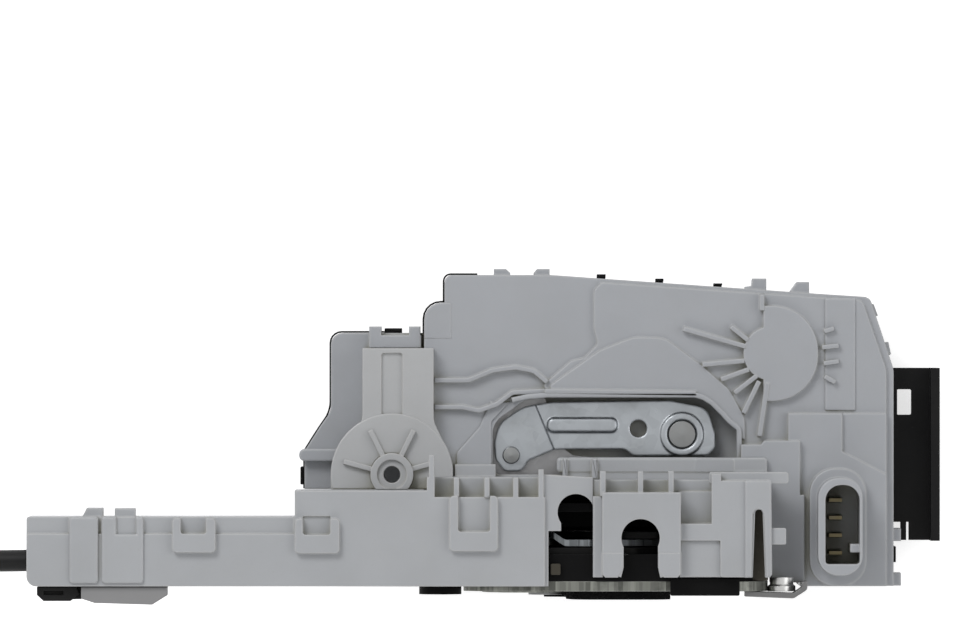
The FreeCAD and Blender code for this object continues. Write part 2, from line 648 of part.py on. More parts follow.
# L-shaped bar, the recess behind it and the right block with its tapered slot
add(lower_housing, "XY", [[(16.4, 11.7), (25.9, 11.7), (25.9, 27.1), (23.7, 27.1), (23.7, 15.6),
                           (16.4, 15.6)]], keyhole_back_z, front_z)
add(lower_housing, "XY", [rect(16.0, 15.0, 24.4, 23.0)], keyhole_back_z - 3.5, keyhole_back_z - 2)
add(lower_housing, "XY", [rect(16.4, 11.7, 25.9, 15.6)], keyhole_back_z - 3.5, front_z)
add(lower_housing, "XY", [rect(25.7, 3.3, 37.1, 25.5, 0.6)], keyhole_back_z, front_z)
cut(lower_housing, "XY", [[(33.1, 2.0), (36.0, 2.0), (35.4, 18.8, 0.8), (33.7, 18.8, 0.8)]],
    keyhole_back_z - 1, front_z)
add(lower_housing, "XY", [rect(25.9, 20.0, 37.1, 25.5)], front_z - 6, front_z - 1)
add(lower_housing, "XY", [rect(23.2, 24.8, 41.4, 27.4, 0.6)], front_z - 6, front_z - 2.5)
add(lower_housing, "XY", [rect(36.5, 10.8, 40.8, 14.6, 0.4)], keyhole_back_z, front_z - 0.4)

# Duct clips under the arm, and the sleeve that holds the cable in the arm's end

black_clip = new_piece("duct_clip_black")
add(black_clip, "XY", [[(-131.1, 1.0), (-122.0, 1.0), (-121.4, -0.6), (-123.4, -2.2),
                        (-129.6, -2.2), (-131.1, -0.8)]], front_z - 14, front_z - 3)
cut(black_clip, "XY", [rect(-129.6, -0.8, -125.0, 0.2)], front_z - 14, front_z - 3)
white_clip = new_piece("duct_clip_white")
add(white_clip, "XY", [[(-120.9, 1.0), (-101.2, 1.0), (-101.2, -0.9), (-104.6, -3.0),
                        (-117.8, -2.6), (-120.9, -1.6)]], front_z - 12, front_z - 1)
cut(white_clip, "XY", [rect(-119.0, -1.0, -104.0, -0.2)], front_z - 12, front_z - 6)

cable_sleeve = new_piece("cable_sleeve")
turn(cable_sleeve, [(s.cable_r + s.running_gap, 0.0), (s.cable_r + 1.2, 0.0),
                    (s.cable_r + 1.2, 6.0), (s.cable_r + s.running_gap, 6.0)])
place(cable_sleeve, s.arm_left + s.housing_wall + 0.1, s.cable_y + 0.55, s.cable_z, *ALONG_X)
cut(lower_housing, "YZ", [circle(s.cable_y + 0.55, s.cable_z, s.cable_r + 0.1)],
    s.arm_left - 1, s.arm_left + s.housing_wall + 1)

# Outer release lever in the window: a zinc plated pressing on a post, with a riveted link pin

lever_top = s.face_z - s.lever_drop
lever_low = lever_top - s.lever_thick
lever_outline = [
    (s.pivot_x + 7.6, 32.7, 1.5), (s.pivot_x + 7.6, 36.0, 4), (23.2, 42.0, 4), (14.6, 43.7, 6),
    (-13.1, 43.3, 12), (-19.5, 42.2, 8), (-25.0, 38.4, 5), (-26.1, 34.0, 1.2),
    (s.link_x - 3.6, 30.0, 2), (s.link_x - 1.5, 27.3, 1.8), (-19.6, 27.4, 2), (-18.3, 29.8, 1.5),
    (-12.2, 32.4, 3), (4.1, 32.5, 2), (6.0, 30.9, 2), (23.3, 31.0, 1.2),
]
outer_lever = new_piece("outer_release_lever")
add(outer_lever, "XY", [lever_outline], lever_low, lever_top)
cut(outer_lever, "XY", [circle(s.pivot_x, s.pivot_y, s.pivot_bore_r + s.running_gap)],
    lever_low, lever_top)
cut(outer_lever, "XY", [circle(s.link_x, s.link_y, s.link_r), circle(7.2, 37.2, 2.0)],
    lever_low, lever_top)
add(outer_lever, "XY", [rect(-13.6, 36.6, 2.1, 39.4, 1.3)], lever_top, lever_top + 0.7)

link_pin = new_piece("link_pin")
turn(link_pin, [(0, -0.4), (s.link_r + 0.5, -0.4), (s.link_r + 0.5, 0), (s.link_r, 0),
                (s.link_r, s.lever_thick), (s.link_r + 0.5, s.lever_thick),
                (s.link_r + 0.3, s.lever_thick + 0.7), (0, s.lever_thick + 0.9)])
place(link_pin, s.link_x, s.link_y, lever_low)

floor_z = s.back_z + s.case_wall
sector_low = s.drive_z + s.gear_thick / 2 + s.layer_gap
post_height = lever_low - floor_z
pivot_post = new_piece("lever_pivot")
turn(pivot_post, [(0, 0), (5.5, 0), (5.5, 2.0), (3.6, 3.0), (3.6, sector_low - floor_z - 0.1),
                  (s.pivot_bore_r, sector_low - floor_z - 0.1),
                  (s.pivot_bore_r, post_height + s.lever_thick + 0.1),
                  (s.pivot_bore_r + 0.7, post_height + s.lever_thick + 0.1),
                  (s.pivot_bore_r + 0.4, post_height + s.lever_thick + 0.8),
                  (0, post_height + s.lever_thick + 1.0)])
place(pivot_post, s.pivot_x, s.pivot_y, floor_z)

lever_spring = new_piece("lever_spring")
coil_low = sector_low + s.gear_thick + 0.6
for turn_index in range(3):
    add(lever_spring, "XY", [circle(s.pivot_x, s.pivot_y, 4.6), circle(s.pivot_x, s.pivot_y, 3.6)],
        coil_low + turn_index * 1.1, coil_low + turn_index * 1.1 + 1.1)

# The plate behind the lever, and the stop pad on the cover that the lever rests on

back_lever = new_piece("lever_backing_plate")
backing_top = lever_low - 0.6
add(back_lever, "XY", [[(s.window_left - 3, 24.5), (6.0, 24.5, 2), (2.0, 30.0, 2), (-8.0, 31.0, 2),
                        (-14.0, 36.0, 3), (-14.0, 44.5, 2), (-21.0, 46.0, 2),
                        (s.window_left - 3, 40.0, 4)]], backing_top - 1.2, backing_top)

# Drive: motor, worm, worm gear with its pinion, and the toothed lock sector

gear_r = s.gear_module * s.gear_teeth / 2
worm_y = s.gear_y + gear_r + s.worm_r
pinion_r = s.pinion_module * s.pinion_teeth / 2
reach = math.hypot(number(s.gear_x - s.pivot_x), number(s.gear_y - s.pivot_y))
aim = math.degrees(math.atan2(number(s.gear_y - s.pivot_y), number(s.gear_x - s.pivot_x)))

motor_can = new_piece("motor_can")
half_high, half_deep = s.motor_high / 2, s.motor_deep / 2
add(motor_can, "YZ", [rect(worm_y - half_high, s.drive_z - half_deep, worm_y + half_high,
                           s.drive_z + half_deep, 4)], s.motor_left, s.motor_left + s.motor_long)
add(motor_can, "YZ", [circle(worm_y, s.drive_z, 3.0)], s.motor_left + s.motor_long,
    s.motor_left + s.motor_long + 1.2)
cut(motor_can, "YZ", [circle(worm_y, s.drive_z, s.shaft_r + s.running_gap)],
    s.motor_left + s.motor_long - 8, s.motor_left + s.motor_long + 1.2)
motor_cap = new_piece("motor_cap")
add(motor_cap, "YZ", [rect(worm_y - half_high + 0.6, s.drive_z - half_deep + 0.6,
                           worm_y + half_high - 0.6, s.drive_z + half_deep - 0.6, 3.5)],
    s.motor_left - 1.6, s.motor_left)
add(motor_cap, "YZ", [circle(worm_y, s.drive_z, 2.4)], s.motor_left - 2.8, s.motor_left - 1.6)

worm_pitch = s.gear_module * math.pi
shaft_start = s.motor_left + s.motor_long - s.gear_x - 6.8
thread_start = worm_pitch * -2.75
motor_worm = new_piece("motor_worm")
turn(motor_worm, [(0, shaft_start), (s.shaft_r, shaft_start), (s.shaft_r, -8.5),
                  (s.worm_r - 0.9, -8.5), (s.worm_r - 0.9, 6.5), (s.shaft_r, 6.5),
                  (s.shaft_r, 9.5), (0, 9.5)])
thread = draw(motor_worm, "XZ", [[(s.worm_r - 1.1, thread_start - 0.35),
                                  (s.worm_r + 0.7, thread_start - 0.18),
                                  (s.worm_r + 0.7, thread_start + 0.18),
                                  (s.worm_r - 1.1, thread_start + 0.35)]], 0)
doc.recompute()
helix = motor_worm.newObject("PartDesign::AdditiveHelix", "worm_thread")
helix.Profile = thread
helix.ReferenceAxis = (thread, ["V_Axis"])
helix.Mode = 0
helix.Pitch = number(worm_pitch)
helix.setExpression("Pitch", worm_pitch.text)
helix.Height = 12.0
place(motor_worm, s.gear_x, worm_y, s.drive_z, *ALONG_X)


def polar(radius, angle_deg):
    return (radius * math.cos(math.radians(angle_deg)), radius * math.sin(math.radians(angle_deg)))


def tooth_at(angle_deg, profile):
    """A tooth profile of (radius, half width) corners, turned to an angle."""
    both_sides = profile + [(radius, -half) for radius, half in profile[::-1]]
    corners = []
    for radius, across in both_sides:
        x, y = polar(number(radius), angle_deg)
        corners.append((x - across * math.sin(math.radians(angle_deg)),
                        y + across * math.cos(math.radians(angle_deg))))
    return corners


def teeth(body, count, profile, low, high, turn_deg):
    """Copies one tooth round the body's Z axis."""
    tooth = add(body, "XY", [profile], low, high)
    pattern = body.newObject("PartDesign::PolarPattern", body.Label + "_teeth")
    pattern.Originals = [tooth]
    pattern.Axis = (tooth.Profile[0], ["N_Axis"])
    pattern.Angle = turn_deg
    pattern.Occurrences = count
    body.Tip = pattern
    return pattern


worm_gear = new_piece("worm_gear")
half_gear = s.gear_thick / 2
add(worm_gear, "XY", [circle(0, 0, gear_r - s.gear_module)], -half_gear, half_gear)
root_x, tip_x = gear_r - s.gear_module * 1.1, gear_r + s.gear_module * 0.9
gap_up = 90 - aim - 180 - 180 / number(s.gear_teeth)
teeth(worm_gear, int(number(s.gear_teeth)), tooth_at(gap_up, [(root_x, 0.6), (tip_x, 0.2)]),
      -half_gear, half_gear, 360)
pinion_low = half_gear + s.layer_gap
add(worm_gear, "XY", [circle(0, 0, pinion_r - s.pinion_module * 1.1)], half_gear,
    pinion_low + s.gear_thick)
tooth_shape = [(-1.3, 0.8), (0.0, 0.55), (0.8, 0.25)]
teeth(worm_gear, int(number(s.pinion_teeth)),
      tooth_at(0, [(pinion_r + rise, half) for rise, half in tooth_shape]),
      pinion_low, pinion_low + s.gear_thick, 360)
gear_bore = 1.5
cut(worm_gear, "XY", [circle(0, 0, gear_bore + s.running_gap)], -half_gear,
    pinion_low + s.gear_thick)
place(worm_gear, s.gear_x, s.gear_y, s.drive_z, V(0, 0, 1), aim + 180)

gear_pin = new_piece("worm_gear_pin")
pin_top = inner_z - 0.3
turn(gear_pin, [(0, 0), (3.2, 0), (3.2, s.drive_z - half_gear - floor_z - 0.2),
                (gear_bore, s.drive_z - half_gear - floor_z - 0.2),
                (gear_bore, pin_top - floor_z), (0, pin_top - floor_z)])
place(gear_pin, s.gear_x, s.gear_y, floor_z)

sector_r = reach - number(pinion_r)
lock_sector = new_piece("lock_sector")
tooth_step = math.degrees(math.pi * number(s.pinion_module) / sector_r)
rim_in, rim_out = sector_r - 4.5, sector_r - 1.1


rim = [polar(rim_out, angle) for angle in range(-13, 36, 4)]
rim += [polar(rim_in, angle) for angle in range(35, -15, -4)]
add(lock_sector, "XY", [circle(0, 0, 5.6)], 0, s.gear_thick)
add(lock_sector, "XY", [rim], 0, s.gear_thick)
add(lock_sector, "XY", [[polar(4.6, -70), polar(rim_in + 1, -12), polar(rim_in + 1, 34),
                         polar(4.6, 95)]], 0.8, s.gear_thick - 0.8)
for index in range(-1, 4):
    add(lock_sector, "XY", [tooth_at((index + 0.5) * tooth_step,
                                     [(sector_r + rise, half) for rise, half in tooth_shape])],
        0, s.gear_thick)
cut(lock_sector, "XY", [circle(0, 0, s.pivot_bore_r + s.running_gap)], 0, s.gear_thick)
place(lock_sector, s.pivot_x, s.pivot_y, sector_low, V(0, 0, 1), aim)

# Lock switch beside the sector, with its sprung plunger

switch_x, switch_y, switch_z = -6.0, 48.0, -26.0
lock_switch = new_piece("lock_switch")
add(lock_switch, "XY", [rect(switch_x - 6.5, switch_y - 3.0, switch_x + 6.5, switch_y + 3.0, 0.4)],
    floor_z, switch_z + 3)
cut(lock_switch, "YZ", [circle(switch_y, switch_z, 1.05)], switch_x + 2.5, switch_x + 6.5)
lock_plunger = new_piece("lock_switch_plunger")
add(lock_plunger, "YZ", [circle(switch_y, switch_z, 1.0)], switch_x + 4.0, switch_x + 8.0)

# Lead frame under the socket, and the four contact blades that stand on it

lead_frame = new_piece("lead_frame")
frame_top = s.split_z + 1.6
add(lead_frame, "XY", [[(s.connector_left + 2.4, 4.0), (s.module_right - 2.4, 4.0),
                        (s.module_right - 2.4, 44.0), (s.connector_left + 6, 44.0),
                        (s.connector_left + 6, 34.0), (s.connector_left + 2.4, 30.0)]],
    s.split_z, frame_top)
add(lead_frame, "XY", [rect(s.connector_left + 3.4, 6.0, s.connector_left + 5.4, 24.0),
                       rect(s.module_right - 5.4, 6.0, s.module_right - 3.4, 40.0)],
    floor_z, s.split_z)
contact_blades = new_piece("contact_blades")
add(contact_blades, "XY", [rect(pin_low_x, y - pin_thick / 2, pin_low_x + pin_wide,
                                y + pin_thick / 2) for y in pin_ys], frame_top, s.face_z + 11)

# Side bracket: a black angle on the module's right side

side_bracket = new_piece("side_bracket")
add(side_bracket, "XY", [[(66.2, 15.4), (68.3, 15.4), (68.3, 11.2), (69.6, 11.2), (69.6, 15.4),
                          (70.2, 15.4), (70.2, 11.2), (75.1, 11.2), (75.1, 51.2), (66.2, 51.2)]],
    -33.0, -30.0)
add(side_bracket, "XY", [rect(75.1, 11.1, 77.2, 51.2)], -40.0, -24.0)
cut(side_bracket, "XY", [rect(67.4, 40.3, 70.8, 46.2, 0.4)], -33.0, -30.0)
add(side_bracket, "XY", [rect(66.2, 18.0, 67.6, 48.0)], -40.0, -33.0)

# Latch: steel face plate with its mouth, threaded collars and the dished pivot seat

mouth = s.mouth_half
face_plate = new_piece("face_plate")
add(face_plate, "XZ", [[
    (-mouth - 4, s.back_z, 1.5), (-mouth, s.back_z + 7, 4), (-mouth, s.mouth_end_z, 5),
    (mouth, s.mouth_end_z, 5), (mouth, s.back_z + 7, 4), (mouth + 4, s.back_z, 1.5),
    (s.plate_right - 3, s.back_z, 3), (s.plate_right, s.back_z + 8, 4),
    (s.plate_right, s.latch_top_z - 5, 5), (s.plate_right - 5, s.latch_top_z, 5),
    (s.plate_left + 5, s.latch_top_z, 5), (s.plate_left, s.latch_top_z - 5, 5),
    (s.plate_left, s.back_z + 8, 5), (s.plate_left + 6, s.back_z, 4)]], 0.0, s.plate_thick)
screws = [(-s.screw_x, 0.0), (s.screw_x, 0.0), (s.screw_x + 1.5, s.third_screw_z)]
collar_high = 6.0
add(face_plate, "XZ", [circle(x, z, s.screw_r + 1.6) for x, z in screws], s.plate_thick,
    collar_high)
add(face_plate, "XZ", [circle(-19.4, s.catch_z, 9.5)], -0.7, 0.0)
cut(face_plate, "XZ", [circle(x, z, s.screw_r) for x, z in screws], 0.0, collar_high)
cut(face_plate, "XZ", [circle(s.catch_x, s.catch_z, s.catch_pin_r + s.running_gap)], -0.7,
    s.plate_thick)
cut(face_plate, "XZ", [circle(s.pawl_x, s.pawl_z, s.pawl_pin_r + s.running_gap)], 0.0,
    s.plate_thick)

# Latch case: the black plastic frame round the catch and pawl

layer_low = s.plate_thick + s.layer_gap
layer_high = layer_low + s.catch_thick
case_high = layer_high + 0.9
latch_case = new_piece("latch_case")
sweep_r = s.catch_r + 0.6
case_left = s.catch_x - sweep_r - s.latch_case_wall
add(latch_case, "XZ", [[
    (-mouth - 4, s.back_z, 1.5), (-mouth, s.back_z + 7, 4), (-mouth, s.mouth_end_z, 5),
    (mouth, s.mouth_end_z, 5), (mouth, s.back_z + 7, 4), (mouth + 4, s.back_z, 1.5),
    (s.plate_right - 3, s.back_z, 3), (s.plate_right - 1, s.back_z + 8, 4),
    (s.plate_right - 1, s.latch_top_z - 5, 5), (s.plate_right - 6, s.latch_top_z, 5),
    (case_left + 8, s.latch_top_z, 6), (case_left, -10.0, 12), (case_left, -36.0, 12),
    (case_left + 12, s.back_z, 3)]], s.plate_thick, case_high)
cut(latch_case, "XZ", [circle(s.catch_x, s.catch_z, sweep_r)], s.plate_thick, case_high)
cut(latch_case, "XZ", [[(s.catch_x + 8, -6.5), (s.catch_x + 11, 4.8, 2), (11.0, 4.8, 4),
                        (s.pawl_x + 8.2, -7.5, 3), (s.pawl_x + 8.2, s.pawl_z - 8.5, 3),
                        (s.pawl_x - 8.5, s.pawl_z - 8.5, 2), (s.pawl_x - 9.8, -14.0),
                        (5.0, -10.5), (-4.0, -9.0)]], s.plate_thick, case_high)
cut(latch_case, "XZ", [circle(x, z, s.screw_r + 1.8) for x, z in screws], s.plate_thick,
    case_high)
bump_x = -38.6
add(latch_case, "XZ", [circle(bump_x, -22.0, 4.9)], -1.2, case_high)

# Back plate: the second steel plate, which closes the mechanism

back_plate_low = case_high
back_plate_high = back_plate_low + s.back_plate_thick
back_plate = new_piece("latch_back_plate")
add(back_plate, "XZ", [[
    (-mouth, s.back_z + 1.5, 2), (-mouth, s.mouth_end_z - 0.5, 5), (mouth, s.mouth_end_z - 0.5, 5),
    (mouth, s.back_z + 1.5, 2), (s.plate_right - 4, s.back_z + 1.5, 3),
    (s.plate_right - 2, s.latch_top_z - 6, 5), (14.0, s.latch_top_z - 6, 3),
    (6.0, s.latch_top_z - 1.5, 4), (-24.0, s.latch_top_z - 1.5, 5),
    (s.plate_left + 1, s.latch_top_z - 8, 4), (s.plate_left + 1, s.back_z + 5, 5),
    (s.plate_left + 6, s.back_z + 1.5, 3)]], back_plate_low, back_plate_high)
cut(back_plate, "XZ", [circle(s.catch_x, s.catch_z, s.catch_pin_r + s.running_gap),
                       circle(s.pawl_x, s.pawl_z, s.pawl_pin_r + s.running_gap)],
    back_plate_low, back_plate_high)

# Catch: drawn latched about its own pin, then swung open. Its slot holds the striker.

catch = new_piece("catch")
seat_x, seat_z = s.striker_x - s.catch_x, s.striker_z - s.catch_z
half_slot = s.catch_slot / 2
add(catch, "XZ", [circle(0, 0, s.catch_r)], 0, s.catch_thick)
cut(catch, "XZ", [circle(seat_x, seat_z, half_slot)], 0, s.catch_thick)
cut(catch, "XZ", [rect(seat_x, seat_z - half_slot, s.catch_r + 2, seat_z + half_slot)], 0,
    s.catch_thick)
cut(catch, "XZ", [[(17.6, 3.0), (17.0, -3.5, 1.5), (8.0, -8.0, 2), (0.0, -8.6, 7),
                   (-10.5, -5.0, 6), (-15.5, 8.0, 10), (-13.5, 13.6), (-20.0, 22.0),
                   (-40.0, 10.0), (-40.0, -30.0), (30.0, -30.0), (30.0, 3.0)]], 0, s.catch_thick)


def sector_cut(from_deg, to_deg, inner, outer):
    """A notch between two radii of the catch's rim."""
    steps = [from_deg + (to_deg - from_deg) * part / 3 for part in range(4)]
    return ([polar(outer, angle) for angle in steps]
            + [polar(inner, angle) for angle in steps[::-1]])


notch_r = number(s.catch_r) - 3.7
cut(catch, "XZ", [sector_cut(50, 66.5, notch_r, number(s.catch_r) + 4)], 0, s.catch_thick)
cut(catch, "XZ", [sector_cut(108, 140, notch_r, number(s.catch_r) + 6)], 0, s.catch_thick)
cut(catch, "XZ", [circle(0, 0, s.catch_pin_r + s.running_gap)], 0, s.catch_thick)
place(catch, s.catch_x, layer_low, s.catch_z, V(0, 1, 0), s.catch_travel)

# Pawl: drawn dropped into the catch's notch, then lifted on to the rim

pawl = new_piece("pawl")
pawl_lift = 9.5
add(pawl, "XZ", [[(-24.1, 11.2), (-20.6, 9.0), (-19.0, 12.5, 0.6), (-16.0, 11.0, 1),
                  (-12.3, 7.4, 2), (-4.0, 1.5, 3), (-6.5, -4.5, 4), (0.0, -6.8, 5), (6.3, -3.0, 4),
                  (6.5, 5.0, 4), (0.0, 9.0, 4), (-9.0, 14.0, 6), (-20.0, 16.8, 2),
                  (-22.4, 14.8, 0.8)]], 0, s.catch_thick)
cut(pawl, "XZ", [circle(0, 0, s.pawl_pin_r + s.running_gap)], 0, s.catch_thick)
place(pawl, s.pawl_x, layer_low, s.pawl_z, V(0, 1, 0), pawl_lift)

# Pins, levers and springs above the back plate

lever_sheet = 1.5
pawl_lever_low = back_plate_high + s.layer_gap
inner_lever_low = pawl_lever_low + lever_sheet + s.layer_gap
cover_low = s.latch_height - s.latch_case_wall
catch_pin = new_piece("catch_pin")
turn(catch_pin, [(0, -1.3), (s.catch_pin_r + 1.2, -1.3), (s.catch_pin_r + 1.2, -0.75),
                 (s.catch_pin_r, -0.75), (s.catch_pin_r, cover_low - 0.1), (0, cover_low - 0.1)])
place(catch_pin, s.catch_x, 0.0, s.catch_z, *ALONG_Y)
pawl_pin = new_piece("pawl_pin")
turn(pawl_pin, [(0, -0.9), (s.pawl_pin_r + 1.0, -0.9), (s.pawl_pin_r + 1.0, -0.05),
                (s.pawl_pin_r, -0.05), (s.pawl_pin_r, cover_low - 0.1), (0, cover_low - 0.1)])
place(pawl_pin, s.pawl_x, 0.0, s.pawl_z, *ALONG_Y)

pawl_lever = new_piece("pawl_lever")
add(pawl_lever, "XZ", [[(s.pawl_x + 6, s.pawl_z - 4, 4), (s.pawl_x + 6, s.pawl_z + 5, 4),
                        (s.pawl_x - 3, s.pawl_z + 14, 5), (2.0, 1.0, 4), (-4.0, 3.6, 1.5),
                        (-13.5, 3.6, 1.5), (-13.5, -0.6, 1.5), (-4.0, -1.5, 4), (0.0, -4.6, 4),
                        (s.pawl_x - 6.5, s.pawl_z + 6, 6), (s.pawl_x - 6, s.pawl_z - 4, 4)]],
    pawl_lever_low, pawl_lever_low + lever_sheet)
cut(pawl_lever, "XZ", [circle(s.pawl_x, s.pawl_z, s.pawl_pin_r + s.running_gap)],
    pawl_lever_low, pawl_lever_low + lever_sheet)

inner_lever = new_piece("inner_release_lever")
add(inner_lever, "XZ", [[(s.catch_x - 6, s.catch_z - 4, 4), (s.catch_x + 4, s.catch_z - 6, 4),
                         (s.catch_x + 9, s.catch_z + 4, 5), (5.0, -4.0, 6), (13.0, -1.5, 2),
                         (13.0, 3.0, 2), (3.0, 3.0, 4), (-8.0, -8.0, 6),
                         (s.catch_x - 6, s.catch_z + 7, 5)]],
    inner_lever_low, inner_lever_low + lever_sheet)
cut(inner_lever, "XZ", [circle(s.catch_x, s.catch_z, s.catch_pin_r + s.running_gap)],
    inner_lever_low, inner_lever_low + lever_sheet)
cut(inner_lever, "XZ", [circle(9.8, 0.6, 1.3)], inner_lever_low, inner_lever_low + lever_sheet)


def coil_spring(label, x, z, inner_r, low, turns, wire):
    """A torsion spring as closed turns round its pin."""
    spring = new_piece(label)
    for index in range(turns):
        add(spring, "XZ", [circle(x, z, inner_r + wire), circle(x, z, inner_r)],
            low + index * wire, low + (index + 1) * wire)
    return spring


coil_spring("catch_spring", s.catch_x, s.catch_z, s.catch_pin_r + 0.6,
            inner_lever_low + lever_sheet + 0.3, 3, 1.1)
coil_spring("pawl_spring", s.pawl_x, s.pawl_z, s.pawl_pin_r + 0.6,
            pawl_lever_low + lever_sheet + 0.3, 4, 1.0)

# Latch cover: the black cap over the levers and springs, open towards the keyholes

latch_cover = new_piece("latch_cover")
add(latch_cover, "XZ", [rect(s.plate_left + 2, s.back_z + 2, s.plate_right - 3, 2.0, 4)],
    back_plate_high, s.latch_height)
cut(latch_cover, "XZ", [rect(s.plate_left + 4, s.back_z + 4, s.plate_right - 5, 6.0)],
    back_plate_high, cover_low)
cut(latch_cover, "XZ", [rect(-mouth - 1, s.back_z, mouth + 1, s.mouth_end_z + 1)],
    back_plate_high, cover_low)

striker_buffer = new_piece("striker_buffer")
add(striker_buffer, "XZ", [rect(-mouth + 0.5, s.mouth_end_z + 1.3, mouth - 3, s.mouth_end_z + 4.2, 1)],
    back_plate_high, pawl_lever_low - 0.05)

foam_seal = new_piece("foam_seal")
add(foam_seal, "XZ", [[(-14.5, s.back_z + 0.5), (-mouth - 4.6, s.back_z + 0.5),
                       (-mouth - 0.8, s.back_z + 7.5), (-mouth - 0.8, s.mouth_end_z, 5),
                       (mouth + 0.8, s.mouth_end_z, 5), (mouth + 0.8, s.back_z + 7.5),
                       (mouth + 4.6, s.back_z + 0.5), (14.5, s.back_z + 0.5), (14.5, -3.0, 5),
                       (-7.4, -3.0, 5), (-9.5, -12.0, 3), (-9.5, -34.0, 2), (-14.5, -36.0, 2)]],
    -2.1, 0.0)

# Bent steel foot beside the plate, with its rubber bush

foot_low, foot_high = -6.5, 3.0
foot_strip = new_piece("foot_strip")
add(foot_strip, "XY", [ribbon([(31.5, -0.65), (42.6, -1.1), (45.4, 0.7), (45.2, 2.2)], 1.2, 1.2)],
    foot_low, foot_high)
foot_bush = new_piece("foot_bush")
turn(foot_bush, [(0, 0), (3.2, 0), (3.2, 1.2), (2.7, 1.6), (2.7, 3.2), (0, 3.2)])
place(foot_bush, 40.0, -0.1, -1.8, *ALONG_Y)

# Case screws: four self-tapping screws driven from the back

case_screws = new_piece("case_screws")
add(case_screws, "XY", [circle(x, y, 2.6) for x, y in screw_places], s.back_z + 0.3,
    s.back_z + 1.8)
add(case_screws, "XY", [circle(x, y, screw_shank_r) for x, y in screw_places], s.back_z + 1.8,
    s.split_z + 7.5)

# Release cable inside the duct

conduit_end = -78.0
cable_conduit = new_piece("cable_conduit")
duct_y = s.cable_y + 0.55
add(cable_conduit, "YZ", [circle(duct_y, s.cable_z, s.cable_r)],
    s.arm_left + s.housing_wall - 1.8, conduit_end)
add(cable_conduit, "YZ", [circle(duct_y, s.cable_z, s.cable_r + 1.0)], conduit_end,
    conduit_end + 8)
add(cable_conduit, "YZ", [circle(duct_y, s.cable_z, 0.75)], conduit_end + 8, conduit_end + 26)
add(cable_conduit, "YZ", [circle(duct_y, s.cable_z, 2.0)], conduit_end + 26, conduit_end + 30)

# Release cable outside: off the arm, down to the surface and into its put-away coil

CABLE_ROUTE = [
    (-133.7, 6.95, -2.0), (-147.0, 6.7, -2.8), (-160.0, 6.9, -9.2), (-172.0, 7.4, -21.8),
    (-184.0, 7.6, -34.2), (-197.0, 7.3, -40.7), (-212.0, 6.95, -41.5),
]
coil_x, coil_y, coil_mean_r, coil_layers = -232.0, 34.45, 27.5, 2


def bend_path(points):
    """Straight runs joined by arcs that touch both runs, and the radii of those arcs."""
    corners = [V(*point) for point in points]
    edges, radii = [], []
    start = corners[0]
    for before, here, after in zip(corners, corners[1:], corners[2:]):
        back, ahead = (before - here), (after - here)
        trim = 0.45 * min(back.Length, ahead.Length)
        half = back.getAngle(ahead) / 2
        radius = trim * math.tan(half)
        radii.append(radius)
        back.normalize()
        ahead.normalize()
        middle = (back + ahead).normalize()
        crown = here + middle * (radius / math.sin(half) - radius)
        edges.append(Part.LineSegment(start, here + back * trim).toShape())
        edges.append(Part.Arc(here + back * trim, crown, here + ahead * trim).toShape())
        start = here + ahead * trim
    edges.append(Part.LineSegment(start, corners[-1]).toShape())
    return Part.Wire(edges), radii


path, radii = bend_path(CABLE_ROUTE)
print("cable bend radii:", [round(radius, 1) for radius in radii], "length", round(path.Length, 1))
first_run = V(*CABLE_ROUTE[1]) - V(*CABLE_ROUTE[0])
section = Part.Wire([Part.Circle(V(*CABLE_ROUTE[0]), first_run, number(s.cable_r)).toShape()])
tube = path.makePipeShell([section], True, False)
print("cable volume against section times length:",
      round(tube.Volume / (math.pi * number(s.cable_r) ** 2 * path.Length), 4))
release_cable = doc.addObject("Part::Feature", "release_cable")
release_cable.Shape = tube

cable_coil = new_piece("cable_coil")
coil_in, coil_out = coil_mean_r - s.cable_r, coil_mean_r + s.cable_r
coil_top = s.back_z + s.cable_r * 2 * coil_layers
add(cable_coil, "XY", [circle(coil_x, coil_y, coil_out), circle(coil_x, coil_y, coil_in)],
    s.back_z, coil_top)
lead_x = CABLE_ROUTE[-1][0]
for lead_y in (coil_y - coil_mean_r, coil_y + coil_mean_r):
    add(cable_coil, "XY", [rect(coil_x, lead_y - s.cable_r, lead_x, lead_y + s.cable_r)],
        s.back_z, s.back_z + s.cable_r * 2)
cable_end = new_piece("cable_end_fitting")
turn(cable_end, [(0, 0), (3.3, 0), (3.3, 9.0), (2.4, 10.0), (2.4, 16.0), (0.75, 16.0),
                 (0.75, 24.0), (2.0, 24.0), (2.0, 28.0), (0, 28.0)])
place(cable_end, lead_x, coil_y + coil_mean_r, s.back_z + 3.3, *ALONG_X)

# Check everything, then write one file for each piece

doc.recompute()
pieces = [item for item in doc.Objects
          if item.TypeId == "PartDesign::Body" or item is release_cable]
for item in doc.Objects:
    if "Invalid" in item.State or "Error" in item.State:
        raise SystemExit("failed: " + item.Label)
for piece in pieces:
    if piece.Shape.isNull() or not piece.Shape.isValid():
        raise SystemExit("bad shape: " + piece.Label)
os.makedirs("parts", exist_ok=True)
for piece in pieces:
    piece.Shape.exportStep("parts/" + piece.Label + ".step")
print(len(pieces), "pieces written")
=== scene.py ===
import math

import bmesh
import bpy
from mathutils import Matrix, Vector


